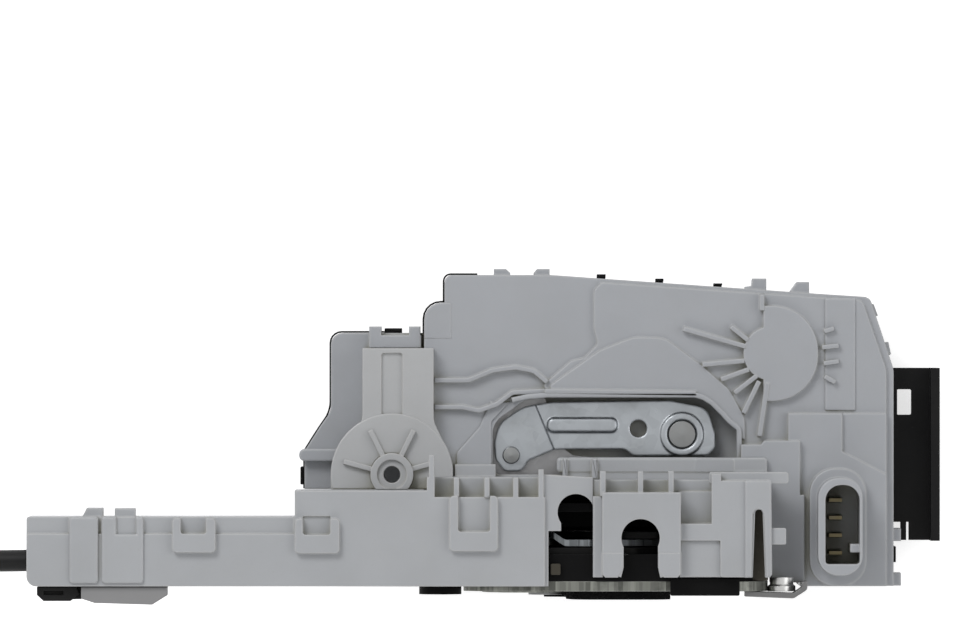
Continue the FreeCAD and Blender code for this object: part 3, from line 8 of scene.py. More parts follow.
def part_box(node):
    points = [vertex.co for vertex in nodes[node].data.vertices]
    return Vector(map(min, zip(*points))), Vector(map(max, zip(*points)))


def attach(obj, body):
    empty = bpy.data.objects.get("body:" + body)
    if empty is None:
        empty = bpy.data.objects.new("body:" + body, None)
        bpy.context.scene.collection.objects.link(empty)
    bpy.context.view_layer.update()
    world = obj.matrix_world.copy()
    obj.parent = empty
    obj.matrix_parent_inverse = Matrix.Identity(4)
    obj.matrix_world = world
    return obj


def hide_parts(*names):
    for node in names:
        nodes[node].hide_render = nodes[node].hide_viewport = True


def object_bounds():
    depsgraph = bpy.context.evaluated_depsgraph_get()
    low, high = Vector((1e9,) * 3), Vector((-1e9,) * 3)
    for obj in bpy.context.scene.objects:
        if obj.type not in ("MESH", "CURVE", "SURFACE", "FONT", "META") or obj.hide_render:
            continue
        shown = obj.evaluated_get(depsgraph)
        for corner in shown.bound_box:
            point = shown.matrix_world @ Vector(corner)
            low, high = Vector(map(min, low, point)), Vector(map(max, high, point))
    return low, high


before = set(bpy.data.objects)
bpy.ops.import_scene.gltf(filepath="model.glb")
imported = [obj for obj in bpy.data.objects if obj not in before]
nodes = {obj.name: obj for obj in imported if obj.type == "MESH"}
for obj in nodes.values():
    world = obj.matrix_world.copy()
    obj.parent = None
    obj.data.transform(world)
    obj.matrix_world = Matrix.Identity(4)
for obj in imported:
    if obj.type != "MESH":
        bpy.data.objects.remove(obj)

cad_low, cad_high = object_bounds()
scene = bpy.context.scene
MM = 0.001


def show(name, data):
    """Put an object with this data into the scene."""
    made = bpy.data.objects.new(name, data)
    scene.collection.objects.link(made)
    return made


# Camera
# Set square above the part, as a parts catalogue is photographed: a long lens, so that depth
# hardly shifts what stands proud.

SENSOR_WIDTH = 36
FRAME_WIDTH, VIEW_X, VIEW_Y = 220.8 * MM, -29.4 * MM, 62.3 * MM
CAMERA_HEIGHT = 3.0
lens = bpy.data.cameras.new("catalogue_camera")
lens.sensor_width = SENSOR_WIDTH
lens.lens = SENSOR_WIDTH * CAMERA_HEIGHT / FRAME_WIDTH
lens.clip_start, lens.clip_end = 0.1, 20
camera = show("catalogue_camera", lens)
camera.location = (VIEW_X, VIEW_Y, CAMERA_HEIGHT)
scene.camera = camera

# Release cable
# A 5 mm sheathed control cable. It leaves the arm's end, drops to the surface, and its spare
# length is wound into a round coil of one and a half turns that ends in a steel fitting.

CABLE_DIAMETER = 5 * MM
CABLE_RUN = [
    (-133.7, 6.95, -2.0), (-147.0, 6.7, -2.8), (-160.0, 6.9, -9.2), (-172.0, 7.4, -21.8),
    (-184.0, 7.6, -34.2), (-197.0, 7.3, -40.7), (-212.0, 6.95, -41.5),
]
COIL_X, COIL_Y, COIL_RADIUS, TURN_POINTS = -232.0, 34.45, 27.5, 16


def nodes_of(material):
    material.use_nodes = True
    return material.node_tree, material.node_tree.nodes["Principled BSDF"]


def feed(tree, socket, value):
    """Give an input a value: a socket is linked, anything else is a plain value."""
    if isinstance(value, bpy.types.NodeSocket):
        tree.links.new(value, socket)
    else:
        socket.default_value = value


def wire(tree, made, **inputs):
    """Feed a node's inputs by name, with an underscore for each space."""
    for name, value in inputs.items():
        feed(tree, made.inputs[name.replace("_", " ")], value)
    return made


def object_place(tree, scale=(1, 1, 1)):
    """The piece's own Object coordinates, stretched by scale."""
    place = tree.nodes.new("ShaderNodeTexCoord")
    mapping = tree.nodes.new("ShaderNodeMapping")
    return wire(tree, mapping, Vector=place.outputs["Object"], Scale=scale).outputs["Vector"]


def noise(tree, where, scale, detail=3.0, roughness=0.55):
    made = wire(tree, tree.nodes.new("ShaderNodeTexNoise"), Vector=where, Scale=scale,
                Detail=detail, Roughness=roughness)
    return made.outputs["Fac"]


def spread(tree, value, low, high, to_low=0.0, to_high=1.0):
    made = wire(tree, tree.nodes.new("ShaderNodeMapRange"), Value=value, From_Min=low,
                From_Max=high, To_Min=to_low, To_Max=to_high)
    return made.outputs["Result"]


def arithmetic(tree, operation, first, second=0.0):
    made = tree.nodes.new("ShaderNodeMath")
    made.operation = operation
    for socket, value in zip(made.inputs, (first, second)):
        feed(tree, socket, value)
    return made.outputs[0]


# A mix node has sockets of the same names for numbers, vectors and colours. These are the
# places of its factor, its two colours and the colour that it gives.
MIX_FACTOR, MIX_FIRST, MIX_SECOND, MIX_RESULT = 0, 6, 7, 2


def blend_colour(tree, amount, first, second):
    made = tree.nodes.new("ShaderNodeMix")
    made.data_type = "RGBA"
    for at, value in ((MIX_FACTOR, amount), (MIX_FIRST, first), (MIX_SECOND, second)):
        feed(tree, made.inputs[at], value)
    return made.outputs[MIX_RESULT]


def group(name, takes, gives):
    """A shader node group with named inputs and outputs."""
    tree = bpy.data.node_groups.new(name, "ShaderNodeTree")
    for label, kind, value in takes:
        socket = tree.interface.new_socket(label, in_out="INPUT", socket_type=kind)
        if value is not None:
            socket.default_value = value
    for label, kind in gives:
        tree.interface.new_socket(label, in_out="OUTPUT", socket_type=kind)
    return tree, tree.nodes.new("NodeGroupInput"), tree.nodes.new("NodeGroupOutput")


def use_group(tree, shared, **inputs):
    made = tree.nodes.new("ShaderNodeGroup")
    made.node_tree = shared
    return wire(tree, made, **inputs)


# Edges of every moulded or pressed piece are broken by a small radius, and a painted highlight is
# laid along them
softened, given, result = group(
    "softened edge", [("Radius", "NodeSocketFloat", 0.4 * MM)],
    [("Normal", "NodeSocketVector"), ("Edge Highlight", "NodeSocketFloat")])
round_off = softened.nodes.new("ShaderNodeBevel")
round_off.samples = 6
wire(softened, round_off, Radius=given.outputs["Radius"])
flat = softened.nodes.new("ShaderNodeNewGeometry")
turned = softened.nodes.new("ShaderNodeVectorMath")
turned.operation = "DOT_PRODUCT"
softened.links.new(round_off.outputs["Normal"], turned.inputs[0])
softened.links.new(flat.outputs["True Normal"], turned.inputs[1])
edge_highlight = spread(softened, turned.outputs["Value"], 1.0, 0.9)
softened.links.new(round_off.outputs["Normal"], result.inputs["Normal"])
softened.links.new(edge_highlight, result.inputs["Edge Highlight"])

# Fine spark-eroded grain that a mould gives plastic, with cloudy gloss from its flow
CLOUD_SCALE = 60.0
moulded, given, result = group(
    "mould grain", [("Grain", "NodeSocketFloat", 2500.0)],
    [("Height", "NodeSocketFloat"), ("Cloudiness", "NodeSocketFloat")])
where = object_place(moulded)
grain = noise(moulded, where, given.outputs["Grain"], 4.0, 0.6)
cloud = noise(moulded, where, CLOUD_SCALE, 3.0, 0.5)
moulded.links.new(grain, result.inputs["Height"])
moulded.links.new(cloud, result.inputs["Cloudiness"])

# Workshop dust and handling marks: faint soft blotches and specks, thin on upright faces
BLOTCH_SCALE, SPECK_SCALE = 90.0, 1400.0
handled, given, result = group(
    "dust and handling", [("Amount", "NodeSocketFloat", 0.3)], [("Dust", "NodeSocketFloat")])
where = object_place(handled)
blotch = spread(handled, noise(handled, where, BLOTCH_SCALE, 5.0, 0.65), 0.45, 0.72)
speck = spread(handled, noise(handled, where, SPECK_SCALE, 2.0, 0.5), 0.66, 0.74)
settled = handled.nodes.new("ShaderNodeNewGeometry")
upward = handled.nodes.new("ShaderNodeSeparateXYZ")
handled.links.new(settled.outputs["Normal"], upward.inputs[0])
lying = spread(handled, upward.outputs["Z"], 0.2, 0.9, 0.15, 1.0)
either = arithmetic(handled, "MAXIMUM", arithmetic(handled, "MULTIPLY", blotch, 0.6), speck)
dusty = arithmetic(handled, "MULTIPLY", arithmetic(handled, "MULTIPLY", either, lying),
                   given.outputs["Amount"])
handled.links.new(dusty, result.inputs["Dust"])

# Painted shade: in recesses the colour is drawn towards a warm olive by ambient occlusion,
# standing in for the light dying away there and the warm light bounced in
RECESS_REACH = 8 * MM
sheltered, given, result = group(
    "painted recess shade", [("Reach", "NodeSocketFloat", RECESS_REACH)],
    [("Painted Shade", "NodeSocketFloat")])
openness = sheltered.nodes.new("ShaderNodeAmbientOcclusion")
openness.samples = 8
wire(sheltered, openness, Distance=given.outputs["Reach"])
sheltered.links.new(spread(sheltered, openness.outputs["AO"], 0.5, 0.05), result.inputs["Painted Shade"])


PALE_DUST, BLACK_DUST = (0.30, 0.29, 0.26, 1), (0.03, 0.029, 0.026, 1)
GRAIN_HEIGHT, BRUSH_HEIGHT = 0.06 * MM, 0.04 * MM
SCATTER_REACH = 1.5 * MM


def plastic(name, colour, rough=0.5, grain_scale=2500.0, grain_depth=0.25, edge=0.4,
            highlight_colour=None, dust=0.25, dust_colour=PALE_DUST, shade=0.06, scatter=0.0,
            recess=None, shine=0.5):
    """A moulded plastic: colour with slight flow shading, grain, a painted highlight along the
    edges, painted shade in recesses when a recess colour is given, and dust.
    """
    material = bpy.data.materials.new(name)
    tree, face = nodes_of(material)
    base = (*colour, 1)
    deep = tuple(channel * (1 - shade) for channel in colour) + (1,)
    # Painted highlight: the lighter colour laid along the rounded edges
    pale = highlight_colour or tuple(min(1, channel * 1.12 + 0.015) for channel in colour)
    skin = use_group(tree, moulded, Grain=grain_scale)
    rim = use_group(tree, softened, Radius=edge * MM)
    film = use_group(tree, handled, Amount=dust)
    tint = blend_colour(tree, spread(tree, skin.outputs["Cloudiness"], 0.35, 0.65), base, deep)
    tint = blend_colour(tree, arithmetic(tree, "MULTIPLY", rim.outputs["Edge Highlight"], 0.8), tint,
                        (*pale, 1))
    tint = blend_colour(tree, film.outputs["Dust"], tint, dust_colour)
    # Painted shade: in recesses the colour goes darker and warmer
    if recess:
        depth = use_group(tree, sheltered, Reach=RECESS_REACH)
        tint = blend_colour(tree, depth.outputs["Painted Shade"], tint, (*recess, 1))
    face.inputs["Specular IOR Level"].default_value = shine
    gloss = spread(tree, skin.outputs["Cloudiness"], 0.3, 0.7, rough - 0.06, rough + 0.06)
    gloss = arithmetic(tree, "ADD", gloss, arithmetic(tree, "MULTIPLY", film.outputs["Dust"], 0.3))
    bump = wire(tree, tree.nodes.new("ShaderNodeBump"), Strength=grain_depth,
                Distance=GRAIN_HEIGHT, Height=skin.outputs["Height"], Normal=rim.outputs["Normal"])
    wire(tree, face, Base_Color=tint, Roughness=gloss, Normal=bump.outputs["Normal"])
    if scatter:
        face.inputs["Subsurface Weight"].default_value = scatter
        face.inputs["Subsurface Scale"].default_value = SCATTER_REACH
        face.inputs["Subsurface Radius"].default_value = (1.0, 0.95, 0.85)
    return material


def finish_node(name, material):
    piece = nodes[name]
    piece.data.materials.clear()
    piece.data.materials.append(material)


sheath = plastic("cable sheath", (0.006, 0.006, 0.0065), rough=0.5, grain_scale=1800.0,
                 grain_depth=0.35, edge=0.2, dust=0.2, dust_colour=BLACK_DUST, shine=0.2)
# The coil's second layer lies on the first, one cable's thickness higher
WOUND_TURNS, LOWER_LAYER, UPPER_LAYER = 1.5, -41.5, -36.5
CLIMB_START, CLIMB_TURNS = 0.7, 0.25
winding = []
for i in range(1, int(WOUND_TURNS * TURN_POINTS)):
    around = math.radians(-90 - 360 * i / TURN_POINTS)
    climb = min(1.0, max(0.0, (i / TURN_POINTS - CLIMB_START) / CLIMB_TURNS))
    winding.append((COIL_X + COIL_RADIUS * math.cos(around),
                    COIL_Y + COIL_RADIUS * math.sin(around),
                    LOWER_LAYER + climb * (UPPER_LAYER - LOWER_LAYER)))
LEAD_OUT = [(-232.0, 61.95, -36.9), (-222.0, 61.95, -38.9), (-212.0, 61.95, -40.7)]
cable_points = CABLE_RUN + [(-222.0, 6.95, -41.5), (-232.0, 6.95, -41.5)] + winding + LEAD_OUT
line = bpy.data.curves.new("release_cable_sheath", "CURVE")
line.dimensions = "3D"
spline = line.splines.new("NURBS")
spline.points.add(len(cable_points) - 1)
for point, (x, y, z) in zip(spline.points, cable_points):
    point.co = (x * MM, y * MM, z * MM, 1)
spline.order_u = 3
spline.use_endpoint_u = True
spline.resolution_u = 8
line.bevel_depth = CABLE_DIAMETER / 2
line.bevel_resolution = 5
line.use_fill_caps = True
line.materials.append(sheath)
cable = show("release_cable_sheath", line)
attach(cable, "module")
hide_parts("release_cable", "cable_coil")
finish_node("cable_conduit", sheath)


BRUSH_SCALE, PATCH_SCALE, SPANGLE_SCALE = 1200.0, 140.0, 420.0


def metal(name, colour, rough=0.35, brushed=(1, 1, 1), brush_depth=0.1, spangle=0.0,
          spangle_stretch=(1, 1, 1), edge=0.15, patch_colour=(0.18, 0.16, 0.13), patch_amount=0.2):
    """A metal surface: rolled or turned grain, plating spangle, a painted highlight along the
    edges, and soft patches of a second colour.
    """
    material = bpy.data.materials.new(name)
    tree, face = nodes_of(material)
    rim = use_group(tree, softened, Radius=edge * MM)
    lines = noise(tree, object_place(tree, brushed), BRUSH_SCALE, 3.0, 0.6)
    patches = noise(tree, object_place(tree), PATCH_SCALE, 4.0, 0.6)
    crystals = tree.nodes.new("ShaderNodeTexVoronoi")
    wire(tree, crystals, Vector=object_place(tree, spangle_stretch), Scale=SPANGLE_SCALE)
    flakes = spread(tree, crystals.outputs["Color"], 0.0, 1.0, 1 - spangle, 1 + spangle * 0.4)
    base = blend_colour(tree, spread(tree, patches, 0.5, 0.75, 0.0, patch_amount),
                        (*colour, 1), (*patch_colour, 1))
    # Painted highlight: a lighter colour laid along the rounded edges
    bright = tuple(min(1, channel * 1.35 + 0.05) for channel in colour)
    shine = tree.nodes.new("ShaderNodeVectorMath")
    shine.operation = "SCALE"
    tree.links.new(base, shine.inputs[0])
    tree.links.new(flakes, shine.inputs["Scale"])
    base = blend_colour(tree, arithmetic(tree, "MULTIPLY", rim.outputs["Edge Highlight"], 0.7),
                        shine.outputs["Vector"], (*bright, 1))
    gloss = spread(tree, arithmetic(tree, "ADD", lines, patches), 0.6, 1.4, rough - 0.08,
                   rough + 0.12)
    bump = wire(tree, tree.nodes.new("ShaderNodeBump"), Strength=brush_depth,
                Distance=BRUSH_HEIGHT, Height=lines, Normal=rim.outputs["Normal"])
    wire(tree, face, Base_Color=base, Roughness=gloss, Metallic=1.0,
         Normal=bump.outputs["Normal"])
    return material


fitting_zinc = metal("cable fitting zinc", (0.56, 0.56, 0.55), rough=0.32)
finish_node("cable_end_fitting", fitting_zinc)
finish_node("cable_sleeve", plastic("sleeve black", (0.03, 0.03, 0.03), rough=0.5))

# Rear case
# The black tub that closes the module from behind. Moulded in glass filled polypropylene; the
# cover snaps on to its rim.

case_black = plastic("case black", (0.0035, 0.0035, 0.0038), rough=0.55, grain_scale=2200.0,
                     grain_depth=0.4, edge=0.35, dust=0.3, dust_colour=BLACK_DUST, shine=0.12)
finish_node("rear_case", case_black)

# Lock drive
# A small can motor turns a brass worm. The worm gear's pinion swings a toothed sector that locks
# the outer lever; a micro switch reports where it stands.

finish_node("motor_can", metal("motor can steel", (0.60, 0.60, 0.59), rough=0.3,
                               brushed=(8, 1, 1), brush_depth=0.15))
finish_node("motor_cap", plastic("motor cap black", (0.035, 0.035, 0.04), rough=0.45))
finish_node("motor_worm", metal("worm brass", (0.72, 0.52, 0.22), rough=0.28,
                                patch_colour=(0.30, 0.18, 0.06)))
finish_node("worm_gear", plastic("gear nylon", (0.74, 0.72, 0.62), rough=0.45, edge=0.15,
                                 scatter=0.15))
finish_node("lock_sector", plastic("sector nylon", (0.16, 0.17, 0.19), rough=0.45, edge=0.15))
finish_node("lock_switch", plastic("switch black", (0.03, 0.03, 0.03), rough=0.35, edge=0.2))
finish_node("lock_switch_plunger", plastic("plunger red", (0.42, 0.06, 0.04), rough=0.35,
                                           edge=0.1))
finish_node("lead_frame", plastic("lead carrier black", (0.05, 0.05, 0.045), rough=0.5))
# Painted shade: the contact blades' brassy colour is darkened to stand in for the shade at the
# bottom of the socket
finish_node("contact_blades", metal("contact tin painted shade", (0.10, 0.085, 0.05), rough=0.45, edge=0.08))
pin_steel = metal("pin steel", (0.23, 0.235, 0.235), rough=0.42, brushed=(1, 1, 4))
finish_node("worm_gear_pin", pin_steel)

# Front cover
# The big pale moulding. Its pads, hill, fanned ribs and connector socket are one shot of
# unpainted polypropylene, a little see-through, with soft edges and a matt skin.

OLIVE_SHADE = (0.26, 0.25, 0.18)
cover_plastic = plastic("cover pale", (0.375, 0.388, 0.412), rough=0.44, grain_scale=1500.0,
                        grain_depth=0.35, edge=0.7, dust=0.12, scatter=0.1,
                        highlight_colour=(0.53, 0.54, 0.55), shade=0.05, recess=OLIVE_SHADE)
finish_node("front_cover", cover_plastic)


def join_form(shape, form):
    """Add a finished closed form to a piece."""
    bmesh.ops.recalc_face_normals(form, faces=form.faces[:])
    pressed = bpy.data.meshes.new("form")
    form.to_mesh(pressed)
    form.free()
    shape.from_mesh(pressed)
    bpy.data.meshes.remove(pressed)


def outline_of(corners, low):
    """A flat face in millimetres. A corner's third number rounds it, that far back each side."""
    form = bmesh.new()
    around = [form.verts.new((corner[0] * MM, corner[1] * MM, low * MM)) for corner in corners]
    form.faces.new(around)
    for corner, vert in zip(corners, around):
        if len(corner) > 2:
            bmesh.ops.bevel(form, geom=[vert], offset=corner[2] * MM, affect="VERTICES",
                            segments=5, profile=0.5, material=-1)
    return form


def ring_of(x, y, inner, outer, low):
    """A flat ring in millimetres."""
    form = bmesh.new()
    for radius in (outer, inner):
        bmesh.ops.create_circle(form, segments=72, radius=radius * MM)
    bmesh.ops.translate(form, verts=form.verts[:], vec=(x * MM, y * MM, low * MM))
    bmesh.ops.bridge_loops(form, edges=form.edges[:])
    return form


def lift(form, extruded, high_by):
    """Move the corners among newly extruded geometry along Z, and return them."""
    corners = [item for item in extruded["geom"] if isinstance(item, bmesh.types.BMVert)]
    bmesh.ops.translate(form, verts=corners, vec=(0, 0, high_by * MM))
    return corners


def open_edges(form):
    return [edge for edge in form.edges if edge.is_boundary]


# Faces that meet at more than this angle, in radians, have a rim between them
RIM_ANGLE = 1.2


def raise_up(shape, form, high_by, soften):
    """Raise a flat form, soften its upper rim and add it to a piece."""
    extruded = bmesh.ops.extrude_face_region(form, geom=form.faces[:])
    upper = set(lift(form, extruded, high_by))
    rim = [edge for edge in form.edges if len(edge.link_faces) == 2 and
           upper.issuperset(edge.verts) and edge.calc_face_angle() > RIM_ANGLE]
    bmesh.ops.bevel(form, geom=rim, offset=soften * MM, affect="EDGES", segments=3, profile=0.5,
                    material=-1)
    join_form(shape, form)


def slab(shape, corners, low, high, soften=0.3):
    """An outline raised from low to high, with its upper edges softened."""
    raise_up(shape, outline_of(corners, low), high - low, soften)


def block(shape, left, low_y, right, high_y, low, high, corner=0.4, soften=0.3):
    slab(shape, [(left, low_y, corner), (right, low_y, corner), (right, high_y, corner),
                 (left, high_y, corner)], low, high, soften)


def wall_round(shape, corners, low, high, thick):
    """An upright wall that follows a closed outline."""
    form = outline_of(corners, low)
    bmesh.ops.delete(form, geom=form.faces[:], context="FACES_ONLY")
    lift(form, bmesh.ops.extrude_edge_only(form, edges=form.edges[:]), high - low)
    bmesh.ops.recalc_face_normals(form, faces=form.faces[:])
    bmesh.ops.solidify(form, geom=form.faces[:], thickness=thick * MM)
    join_form(shape, form)


def upright_rib(shape, path, low, high, thick):
    """A rib that follows a path in the cover's plane, with a softened crest."""
    form = bmesh.new()
    along = [form.verts.new((x * MM, y * MM, low * MM)) for x, y in path]
    for near, far in zip(along, along[1:]):
        form.edges.new((near, far))
    lift(form, bmesh.ops.extrude_edge_only(form, edges=form.edges[:]), high - low)
    bmesh.ops.solidify(form, geom=form.faces[:], thickness=thick * MM)
    crest = [edge for edge in form.edges
             if all(vert.co.z > (high - 0.01) * MM for vert in edge.verts)]
    bmesh.ops.bevel(form, geom=crest, offset=0.3 * MM, affect="EDGES", segments=2, profile=0.5,
                    material=-1)
    join_form(shape, form)


def split_at(form, place, normal, clear_inner=False):
    """Cut new edges into a form along a plane through a place in millimetres."""
    bmesh.ops.bisect_plane(form, geom=form.verts[:] + form.edges[:] + form.faces[:],
                           plane_co=Vector(place) * MM, plane_no=normal, clear_inner=clear_inner)


SEAM_GAP = 0.001 * MM


def copy_of(node):
    """A node's own mesh with its seams closed, ready to be reshaped."""
    shape = bmesh.new()
    shape.from_mesh(nodes[node].data)
    bmesh.ops.remove_doubles(shape, verts=shape.verts[:], dist=SEAM_GAP)
    return shape


def finish_piece(name, shape, material, body="module", stands_for=None):
    mesh = bpy.data.meshes.new(name)
    shape.to_mesh(mesh)
    shape.free()
    mesh.materials.append(material)
    piece = show(name, mesh)
    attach(piece, body)
    if stands_for:
        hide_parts(stands_for)


# The cover's rounded shoulder, the shallow tub behind the lever, and what stands on its skin
FACE_Z, PAD_Z, SPLIT_Z = -12.0, -11.0, -28.0
TUB_FLOOR_Z, TUB_LOW_Z = -18.7, -20.2
shape = bmesh.new()
slab(shape, [(-42.3, 58.0), (-36.0, 58.0), (-36.0, 66.3), (-42.3, 66.3, 4.0)], SPLIT_Z,
     FACE_Z + 0.04, 0.04)
slab(shape, [(-30.1, 25.2), (31.4, 25.2), (31.4, 37.0), (21.2, 52.4), (-30.1, 52.4)],
     TUB_LOW_Z, TUB_FLOOR_Z)
slab(shape, [(30.15, 26.0), (31.3, 26.0), (31.3, 38.0), (30.15, 38.6)], TUB_FLOOR_Z, FACE_Z)
slab(shape, [(-34.9, 26.4), (-26.7, 26.4), (-26.7, 38.8), (-22.4, 43.4), (-27.0, 43.6),
             (-29.6, 37.6, 0.6), (-34.9, 31.6, 0.6)], FACE_Z - 0.2, FACE_Z + 0.5)
block(shape, 50.2, 41.4, 57.3, 67.3, FACE_Z, PAD_Z + 0.5)
slab(shape, [(-71.2, 29.7, 1.2), (-62.3, 29.7), (-62.3, 32.5), (-71.2, 32.5, 1.2)], -21.0, -15.0)
upright_rib(shape, [(-22.2, 44.4), (-18.5, 45.2), (-14.0, 45.6), (20.3, 45.6), (22.4, 45.0),
                    (24.6, 43.6), (27.0, 41.2), (28.6, 39.4), (30.6, 37.8), (31.0, 36.9),
                    (31.1, 27.2)], FACE_Z - 1.0, PAD_Z + 1.8, 1.2)
finish_piece("cover_details", shape, cover_plastic)

# The rear case's rim shows as a dark line round the cover, with lugs left, right and on top
CASE_RIM = 0.45
shape = bmesh.new()
wall_round(shape, [(-42.3 - CASE_RIM, 50.0), (-30.0, 50.0), (-30.0, 72.7 + CASE_RIM),
                   (-37.6 - CASE_RIM, 72.7 + CASE_RIM, 1.8), (-37.6 - CASE_RIM, 66.3 + CASE_RIM),
                   (-42.3 - CASE_RIM, 66.3 + CASE_RIM, 4.2)], SPLIT_Z - 3, SPLIT_Z - 0.05, 0.4)
wall_round(shape, [(-70.0 - CASE_RIM, 23.2), (-50.0, 23.2), (-50.0, 59.3 + CASE_RIM),
                   (-63.9 - CASE_RIM, 59.3 + CASE_RIM, 2.8), (-63.9 - CASE_RIM, 41.2, 2),
                   (-66.2 - CASE_RIM, 38.0, 2), (-70.0 - CASE_RIM, 32.0, 1)],
           SPLIT_Z - 3, SPLIT_Z - 0.05, 0.4)
block(shape, -71.0, 24.2, -69.9, 28.3, SPLIT_Z - 5, SPLIT_Z + 8, 0.2)
block(shape, -51.5, 59.2, -47.5, 60.4, SPLIT_Z - 5, SPLIT_Z + 8, 0.2)
block(shape, 66.0, 6.2, 66.9, 9.9, SPLIT_Z - 5, SPLIT_Z + 8, 0.2)
finish_piece("case_rim", shape, case_black)

# Release lever window
# A pressed, zinc plated lever on a shouldered post, with a headed link pin. A second steel plate
# stands behind it.

lever_zinc = metal("lever zinc", (0.35, 0.37, 0.39), rough=0.34, spangle=0.10, edge=0.7,
                   patch_amount=0.35, brush_depth=0.3, patch_colour=(0.20, 0.205, 0.20))

# The pressed lever steps down towards its link pin, and is embossed along its middle and round
# its pivot
PIVOT_X, PIVOT_Y, LEVER_TOP_Z = 17.3, 35.9, -15.0
STEP_WIDE, STEP_DEEP, SUNK = 0.55, 0.5, 0.2
step_start, step_way = Vector((-14.2, 37.7, 0)), Vector((-9.9, -4.15, 0)).normalized()
shape = copy_of("outer_release_lever")
for along in (0, STEP_WIDE):
    split_at(shape, step_start + step_way * along, step_way)
for vert in shape.verts:
    across = (vert.co / MM - step_start).dot(step_way) / STEP_WIDE
    vert.co.z -= STEP_DEEP * min(1.0, max(0.0, across)) * MM
raise_up(shape, ring_of(PIVOT_X, PIVOT_Y, 3.4, 5.0, LEVER_TOP_Z - SUNK), 0.7, 0.3)
block(shape, -13.9, 36.3, 2.4, 39.7, LEVER_TOP_Z - SUNK, LEVER_TOP_Z + 0.9, 1.4, 0.7)
finish_piece("release_lever_pressing", shape, lever_zinc, "outer_lever",
             "outer_release_lever")
finish_node("link_pin", pin_steel)
finish_node("lever_pivot", pin_steel)
plate_zinc = metal("plate zinc", (0.30, 0.30, 0.305), rough=0.4, spangle=0.1, edge=0.2)
# Painted shade: this near-black stands in for the deep shade inside the latch, where the back
# plate lies; the inner release lever takes the same colour
black_plate = plastic("plate black painted shade", (0.0035, 0.0035, 0.0035), rough=0.5, grain_scale=1600.0,
                      edge=0.2, dust=0.25, dust_colour=BLACK_DUST, shine=0.12)
finish_node("lever_backing_plate", plate_zinc)

spring_steel = metal("spring wire", (0.30, 0.30, 0.31), rough=0.3, patch_amount=0.35)
SPRING_STEPS = 28


def spring_for(node, name, axis, wire_radius, turns):
    """A close wound spring in its node's place: a round wire spun and lifted along the axis."""
    low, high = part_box(node)
    along = [i for i in range(3) if abs(axis[i]) > 0.5][0]
    side = (along + 1) % 3
    coil_radius = (high[side] - low[side]) / 2 - wire_radius
    length = high[along] - low[along] - 2 * wire_radius
    centre = (low + high) / 2
    across = axis.orthogonal().normalized()
    start = centre + axis * (-length / 2) + across * coil_radius
    upright = Matrix((across, axis, across.cross(axis))).transposed().to_4x4()
    shape = bmesh.new()
    ring = bmesh.ops.create_circle(shape, segments=10, radius=wire_radius)["verts"]
    bmesh.ops.transform(shape, matrix=Matrix.Translation(start) @ upright, verts=ring)
    bmesh.ops.spin(shape, geom=shape.edges[:], cent=centre, axis=axis,
                   angle=math.tau * turns, steps=SPRING_STEPS * turns,
                   dvec=axis * (length / turns / SPRING_STEPS), use_merge=False)
    bmesh.ops.holes_fill(shape, edges=open_edges(shape))
    bmesh.ops.recalc_face_normals(shape, faces=shape.faces[:])
    for face in shape.faces:
        face.smooth = True
    finish_piece(name, shape, spring_steel, stands_for=node)


spring_for("lever_spring", "lever_return_spring", Vector((0, 0, 1)), 0.45 * MM, 3)

# Shield plate
# A whiter plate that stands off the cover, with a screw boss and four struts moulded on.

shield_plastic = plastic("shield pale", (0.435, 0.442, 0.45), rough=0.42, grain_scale=1500.0,
                         grain_depth=0.3, edge=0.5, dust=0.12, scatter=0.1,
                         highlight_colour=(0.56, 0.56, 0.555), recess=OLIVE_SHADE)
finish_node("shield_plate", shield_plastic)

# The round foot of the plate, cut off level where the housing starts
BOSS_X, BOSS_Y, HUB_RADIUS, FOOT_RADIUS, FOOT_HEIGHT = -49.7, 26.7, 4.9, 14.1, 5.3
HOUSING_TOP = 23.35
form = ring_of(BOSS_X, BOSS_Y, HUB_RADIUS, FOOT_RADIUS, FACE_Z)
split_at(form, (0, HOUSING_TOP, 0), (0, 1, 0), clear_inner=True)
shape = bmesh.new()
raise_up(shape, form, FOOT_HEIGHT, 0.25)
finish_piece("shield_foot", shape, shield_plastic)

# Lower housing
# The white tray in front of the latch, with the cable duct arm, its hooked pockets and the two
# keyholes that the handle cables hang in.

housing_plastic = plastic("housing white", (0.40, 0.412, 0.43), rough=0.42, grain_scale=1500.0,
                          grain_depth=0.3, edge=0.6, dust=0.12, scatter=0.1,
                          highlight_colour=(0.57, 0.575, 0.575), recess=OLIVE_SHADE)
finish_node("lower_housing", housing_plastic)

# Full height guides on the arm, the bar and shelf under the window, the walls round the two
# keyholes, and the right block's raised edge with its slot
FRONT_Z, KEYHOLE_Z = 9.5, 12.0
shape = bmesh.new()
block(shape, -123.6, 1.9, -116.9, 17.2, FRONT_Z - 0.03, FRONT_Z + 0.9, 0.9, 0.5)
slab(shape, [(-116.2, 1.9, 0.9), (-106.5, 1.9, 0.9), (-106.5, 17.2, 0.6), (-108.3, 17.2),
             (-108.3, 13.3), (-112.7, 13.3), (-112.7, 17.2), (-116.2, 17.2, 0.6)],
     FRONT_Z - 0.03, FRONT_Z + 0.9, 0.5)
block(shape, -11.7, 27.1, 29.3, 30.6, FACE_Z, FACE_Z + 7, 0.9, 0.5)
block(shape, 20.0, 27.0, 36.8, 30.6, FACE_Z + 5.2, FACE_Z + 6.9, 0.9, 0.4)
block(shape, -9.7, 25.3, 36.8, 27.6, FACE_Z + 5.2, FACE_Z + 6.8, 0.2, 0.2)
for left, right in ((-10.4, -9.2), (-3.7, -2.3)):
    block(shape, left, 25.6, right, 30.4, FACE_Z, FACE_Z + 8.2, 0.2)
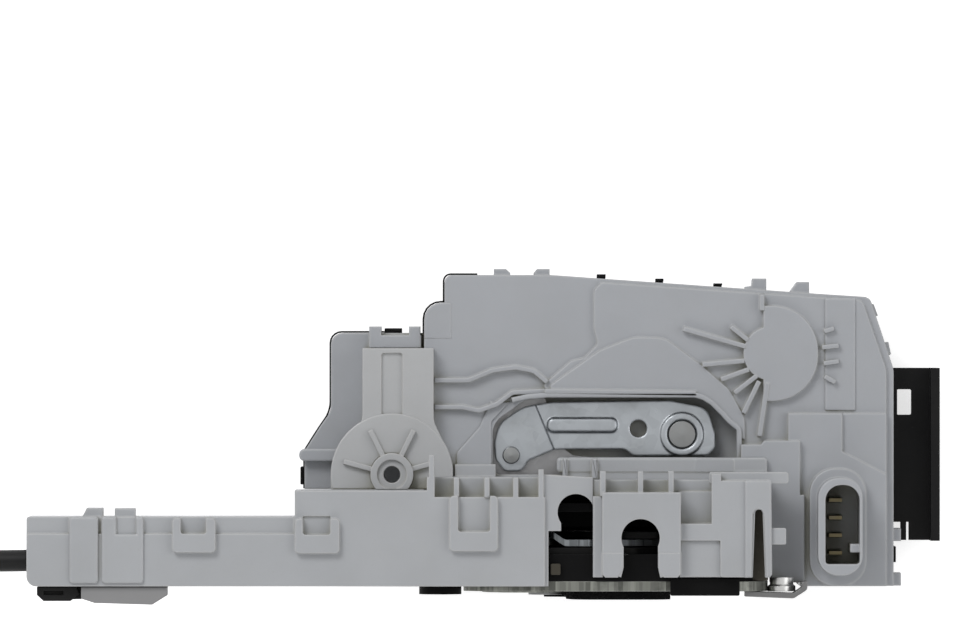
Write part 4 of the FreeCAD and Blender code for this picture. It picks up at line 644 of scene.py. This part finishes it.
slab(shape, [(16.4, 3.3), (26.0, 3.3), (26.0, 11.9), (16.4, 11.9)], FRONT_Z - 3, FRONT_Z - 1, 0.2)
slab(shape, [(-3.5, 3.3), (-1.2, 3.3), (-1.2, 21.9), (-3.5, 21.9)], FRONT_Z - 3, FRONT_Z, 0.2)
slab(shape, [(-1.37, 9.0), (-1.37, 4.0), (-0.7, 3.3), (2.2, 3.3), (3.42, 5.2), (3.42, 9.0)],
     KEYHOLE_Z - 4, KEYHOLE_Z + 0.02, 0.02)
slab(shape, [(11.48, 9.0), (11.48, 5.2), (12.7, 3.3), (15.9, 3.3), (16.57, 4.1), (16.57, 9.0)],
     KEYHOLE_Z - 4, KEYHOLE_Z + 0.02, 0.02)
slab(shape, [(31.3, 3.25), (33.0, 3.25), (33.2, 17.6), (33.7, 18.6), (34.5, 18.9), (35.2, 18.6),
             (35.6, 17.6), (36.1, 3.25), (37.0, 3.25), (37.6, 4.0), (37.4, 25.55, 0.6),
             (31.3, 25.55, 0.6)], FRONT_Z - 3.3, FRONT_Z + 0.8, 0.4)
finish_piece("housing_details", shape, housing_plastic)

# Painted shade: a dark olive plate stands in for the shadow on the ground of the right block's
# slot, and the small square beside the keyholes takes the same dark colour for the shade it sits
# in
slot_shade = plastic("slot shade", (0.045, 0.04, 0.03), rough=0.6, edge=0.3, dust=0.1, shine=0.2)
shape = bmesh.new()
block(shape, 32.6, 2.4, 36.8, 19.4, 3.0, 3.5)
block(shape, -13.2, 3.8, -10.9, 6.4, FRONT_Z - 2.9, FRONT_Z - 1.6)
finish_piece("slot_web", shape, slot_shade)

# The clips that close the duct from below, and a dark web behind the black one's slot
clip_black = plastic("clip black", (0.005, 0.005, 0.005), rough=0.45, edge=0.3,
                     dust_colour=BLACK_DUST, shine=0.2)
finish_node("duct_clip_black", clip_black)
shape = bmesh.new()
slab(shape, [(-131.0, 2.0), (-131.0, -0.4), (-129.4, -2.1, 1), (-121.0, -1.8), (-121.0, 2.0)],
     FRONT_Z - 13, FRONT_Z - 5, 0.3)
finish_piece("duct_clip_web", shape, clip_black)
# Painted shade: the white clip's colour is darkened to stand in for the shade it lies in under the
# arm
finish_node("duct_clip_white", plastic("clip pale painted shade", (0.25, 0.25, 0.255), rough=0.45, edge=0.5,
                                       scatter=0.1, recess=OLIVE_SHADE))

# Latch
# A zinc plated face plate and a steel back plate, its near-black colour standing in for the deep
# shade it lies in, hold the catch and the pawl on their pins. The frame between them, the cap over
# the levers and the foam seal are black plastic.

# Painted reflection: the face plate's edge and the pawl lever are given a dark zinc with strong
# spangle and near-black patches, standing in for the dark and bright reflections along them
edge_zinc = metal("plate edge zinc", (0.195, 0.2, 0.18), rough=0.36, spangle=0.65,
                  spangle_stretch=(2.5, 0.05, 4.0), brushed=(5, 0.4, 0.4), brush_depth=0.5,
                  edge=0.3, patch_amount=0.8, patch_colour=(0.05, 0.05, 0.045))
lever_edge = metal("lever edge zinc", (0.20, 0.215, 0.225), rough=0.36, spangle=0.65,
                   spangle_stretch=(3.5, 0.05, 4.0), brush_depth=0.5, patch_amount=0.6,
                   patch_colour=(0.07, 0.075, 0.08))
latch_black = plastic("latch black", (0.0028, 0.0028, 0.003), rough=0.6, grain_scale=2200.0,
                      grain_depth=0.4, edge=0.3, dust=0.1, dust_colour=BLACK_DUST, shine=0.08)
finish_node("face_plate", edge_zinc)
finish_node("latch_back_plate", black_plate)
catch_steel = metal("catch steel", (0.33, 0.33, 0.34), rough=0.3, edge=0.25, patch_amount=0.4)
finish_node("catch", catch_steel)
finish_node("pawl", catch_steel)
for name in ("catch_pin", "pawl_pin"):
    finish_node(name, pin_steel)

# The pawl lever's tip is bent up: over the first millimetre it curves, then it runs straight
TIP_X, TIP_SLOPE = -9.4, 0.66
shape = copy_of("pawl_lever")
for x in (TIP_X, TIP_X - 0.5, TIP_X - 1.0):
    split_at(shape, (x, 0, 0), (1, 0, 0))
for vert in shape.verts:
    past = max(0.0, TIP_X - vert.co.x / MM)
    vert.co.y += TIP_SLOPE * (past ** 2 / 2 if past < 1 else past - 0.5) * MM
finish_piece("pawl_lever_pressing", shape, lever_edge, "pawl_lever", "pawl_lever")
finish_node("inner_release_lever", black_plate)
spring_for("catch_spring", "catch_return_spring", Vector((0, 1, 0)), 0.5 * MM, 3)
spring_for("pawl_spring", "pawl_return_spring", Vector((0, 1, 0)), 0.45 * MM, 4)
finish_node("latch_case", latch_black)
finish_node("latch_cover", latch_black)

# Webs that close the latch case above the two levers and behind them
shape = bmesh.new()
block(shape, -13.0, 14.4, 11.5, 22.2, -10.4, -9.9)
block(shape, -10.0, 9.0, 12.5, 16.0, -31.5, -31.0)
# The lip of the latch case over the face plate's right end
block(shape, 14.3, -1.0, 30.2, 3.1, 4.6, 6.6)
finish_piece("latch_web", shape, latch_black)
finish_node("striker_buffer", plastic("buffer rubber", (0.03, 0.03, 0.03), rough=0.7,
                                      grain_scale=900.0, grain_depth=0.5))
foam = plastic("foam seal", (0.006, 0.006, 0.006), rough=0.95, grain_scale=700.0, edge=0.6,
               dust=0.4, dust_colour=(0.05, 0.05, 0.047, 1), shine=0.05)
tree, face = nodes_of(foam)
CELL_SCALE, PIT_DEPTH = 1500.0, 0.4 * MM
cells = wire(tree, tree.nodes.new("ShaderNodeTexVoronoi"), Vector=object_place(tree),
             Scale=CELL_SCALE)
pits = wire(tree, tree.nodes.new("ShaderNodeBump"), Strength=1.0, Distance=PIT_DEPTH,
            Height=cells.outputs["Distance"])
tree.links.new(pits.outputs["Normal"], face.inputs["Normal"])
finish_node("foam_seal", foam)
finish_node("foot_strip", metal("foot strip dark", (0.16, 0.16, 0.16), rough=0.42, edge=0.25))
finish_node("foot_bush", metal("bush zinc", (0.55, 0.55, 0.54), rough=0.3, edge=0.2))

# Side bracket and case screws
# A black angle clipped to the module's end, and four zinc plated self-tapping screws.

finish_node("side_bracket", plastic("bracket black", (0.004, 0.004, 0.0043), rough=0.5,
                                    grain_scale=2200.0, edge=0.35, dust_colour=BLACK_DUST,
                                    shine=0.15))
SCREW_TOP_RADIUS, SCREW_SHANK_RADIUS = 2.2, 1.0
SCREW_PITCH, THREAD_TURNS, THREAD_START, THREAD_STEPS = 1.2, 15, 2.4, 16
# The drive is sunk in the head. Of each four of its corners one stands out and one is drawn in
DRIVE_INSET, DRIVE_DEPTH, DRIVE_LOBES = 1.05, 0.9, (1.12, 1.0, 0.86, 1.0)
SCREW_PLACES = [(-32.5, 66.5), (60.0, 49.0), (-36.5, 27.4), (40.8, 27.4)]
# Each step out of the head's edge: how much wider the ring gets, and how far it goes along
SCREW_STEPS = [(1.14, 0.25), (1.03, 0.5), (1.0, 0.75), (0.387, 0.0), (1.0, 20.0), (0.4, 1.0)]

shape = bmesh.new()
bmesh.ops.create_circle(shape, cap_ends=True, segments=24, radius=SCREW_TOP_RADIUS * MM)
shape.faces.ensure_lookup_table()
drive = shape.faces[0]
bmesh.ops.inset_region(shape, faces=[drive], thickness=DRIVE_INSET * MM,
                       use_even_offset=True)
for i, corner in enumerate(drive.verts):
    lobe = DRIVE_LOBES[i % len(DRIVE_LOBES)]
    bmesh.ops.scale(shape, vec=(lobe, lobe, 1), verts=[corner])
sunk = bmesh.ops.extrude_discrete_faces(shape, faces=[drive])["faces"][0]
bmesh.ops.translate(shape, verts=sunk.verts[:], vec=(0, 0, DRIVE_DEPTH * MM))
bmesh.ops.scale(shape, vec=(0.9, 0.9, 1), verts=sunk.verts[:])
for wider, along in SCREW_STEPS:
    ring = lift(shape, bmesh.ops.extrude_edge_only(shape, edges=open_edges(shape)), along)
    bmesh.ops.scale(shape, vec=(wider, wider, 1), verts=ring)
bmesh.ops.holes_fill(shape, edges=open_edges(shape))
ridge = bmesh.ops.create_circle(shape, cap_ends=True, segments=3, radius=0.3 * MM)["verts"]
stand_up = Matrix.Translation((SCREW_SHANK_RADIUS * MM, 0, THREAD_START * MM)) @ Matrix.Rotation(
    math.radians(90), 4, "X") @ Matrix.Rotation(math.radians(-90), 4, "Z")
bmesh.ops.transform(shape, matrix=stand_up, verts=ridge)
ridge_edges = dict.fromkeys(edge for vert in ridge for edge in vert.link_edges)
bmesh.ops.spin(shape, geom=list(ridge_edges), cent=(0, 0, 0), axis=(0, 0, 1),
               angle=math.tau * THREAD_TURNS, steps=THREAD_STEPS * THREAD_TURNS,
               dvec=(0, 0, SCREW_PITCH * MM / THREAD_STEPS), use_merge=False)
bmesh.ops.holes_fill(shape, edges=open_edges(shape))
bmesh.ops.recalc_face_normals(shape, faces=shape.faces[:])
screw_mesh = bpy.data.meshes.new("case_screw")
shape.to_mesh(screw_mesh)
shape.free()
screw_mesh.materials.append(metal("screw zinc", (0.50, 0.50, 0.49), rough=0.35, edge=0.1))
head_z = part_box("case_screws")[0].z
for number, (x, y) in enumerate(SCREW_PLACES, start=1):
    placed = screw_mesh.copy()
    placed.transform(Matrix.Translation((x * MM, y * MM, head_z)))
    screw = show(f"case_screw_{number}", placed)
    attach(screw, "module")
    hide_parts("case_screws")

# Surface and light
# A white sweep lit by broad soft lamps from above and to the left, as a studio table is.

FLOOR_HALF, FLOOR_GAP, FLOOR_GLOW, ROOM_LIGHT = 1.2, 0.02 * MM, 0.66, 0.46


def plainly_seen(tree):
    """1 where the camera sees a thing itself, mirrored or through something clear, else 0."""
    ray = tree.nodes.new("ShaderNodeLightPath")
    indirect = arithmetic(tree, "MAXIMUM", ray.outputs["Is Glossy Ray"],
                          ray.outputs["Is Transmission Ray"])
    return arithmetic(tree, "MAXIMUM", ray.outputs["Is Camera Ray"], indirect)


shape = bmesh.new()
bmesh.ops.create_grid(shape, x_segments=4, y_segments=4, size=FLOOR_HALF)
bmesh.ops.translate(shape, verts=shape.verts[:], vec=(0, 0, cad_low.z - FLOOR_GAP))
sweep_mesh = bpy.data.meshes.new("studio_sweep")
shape.to_mesh(sweep_mesh)
shape.free()
paper = bpy.data.materials.new("studio paper")
tree, face = nodes_of(paper)
wire(tree, face, Base_Color=(0.86, 0.86, 0.86, 1), Roughness=0.9)
glow = tree.nodes.new("ShaderNodeEmission")
wire(tree, glow, Color=(1, 1, 1, 1), Strength=FLOOR_GLOW)
both = tree.nodes.new("ShaderNodeAddShader")
choose = tree.nodes.new("ShaderNodeMixShader")
tree.links.new(face.outputs[0], both.inputs[0])
tree.links.new(glow.outputs[0], both.inputs[1])
tree.links.new(plainly_seen(tree), choose.inputs[0])
tree.links.new(face.outputs[0], choose.inputs[1])
tree.links.new(both.outputs[0], choose.inputs[2])
tree.links.new(choose.outputs[0], tree.nodes["Material Output"].inputs["Surface"])
sweep_mesh.materials.append(paper)
sweep = show("studio_sweep", sweep_mesh)


def soft_lamp(name, place, aim, size, power):
    lamp = bpy.data.lights.new(name, "AREA")
    lamp.shape = "SQUARE"
    lamp.size = size
    lamp.energy = power
    stand = show(name, lamp)
    stand.location = place
    stand.rotation_mode = "QUATERNION"
    stand.rotation_quaternion = (Vector(place) - Vector(aim)).to_track_quat("Z", "Y")


middle = (-0.03, 0.04, -0.02)
soft_lamp("key_lamp", (-0.55, 0.85, 0.95), middle, 0.55, 7.6)
soft_lamp("fill_lamp", (0.9, 0.1, 0.8), middle, 0.8, 2.5)
soft_lamp("low_lamp", (-0.1, -0.9, 0.7), middle, 0.8, 2.0)

room = bpy.data.worlds.new("studio_room")
scene.world = room
room.use_nodes = True
tree = room.node_tree
wire(tree, tree.nodes["Background"], Color=(1, 1, 1, 1),
     Strength=spread(tree, plainly_seen(tree), 0.0, 1.0, ROOM_LIGHT, 1.0))

scene.view_settings.view_transform = "Standard"
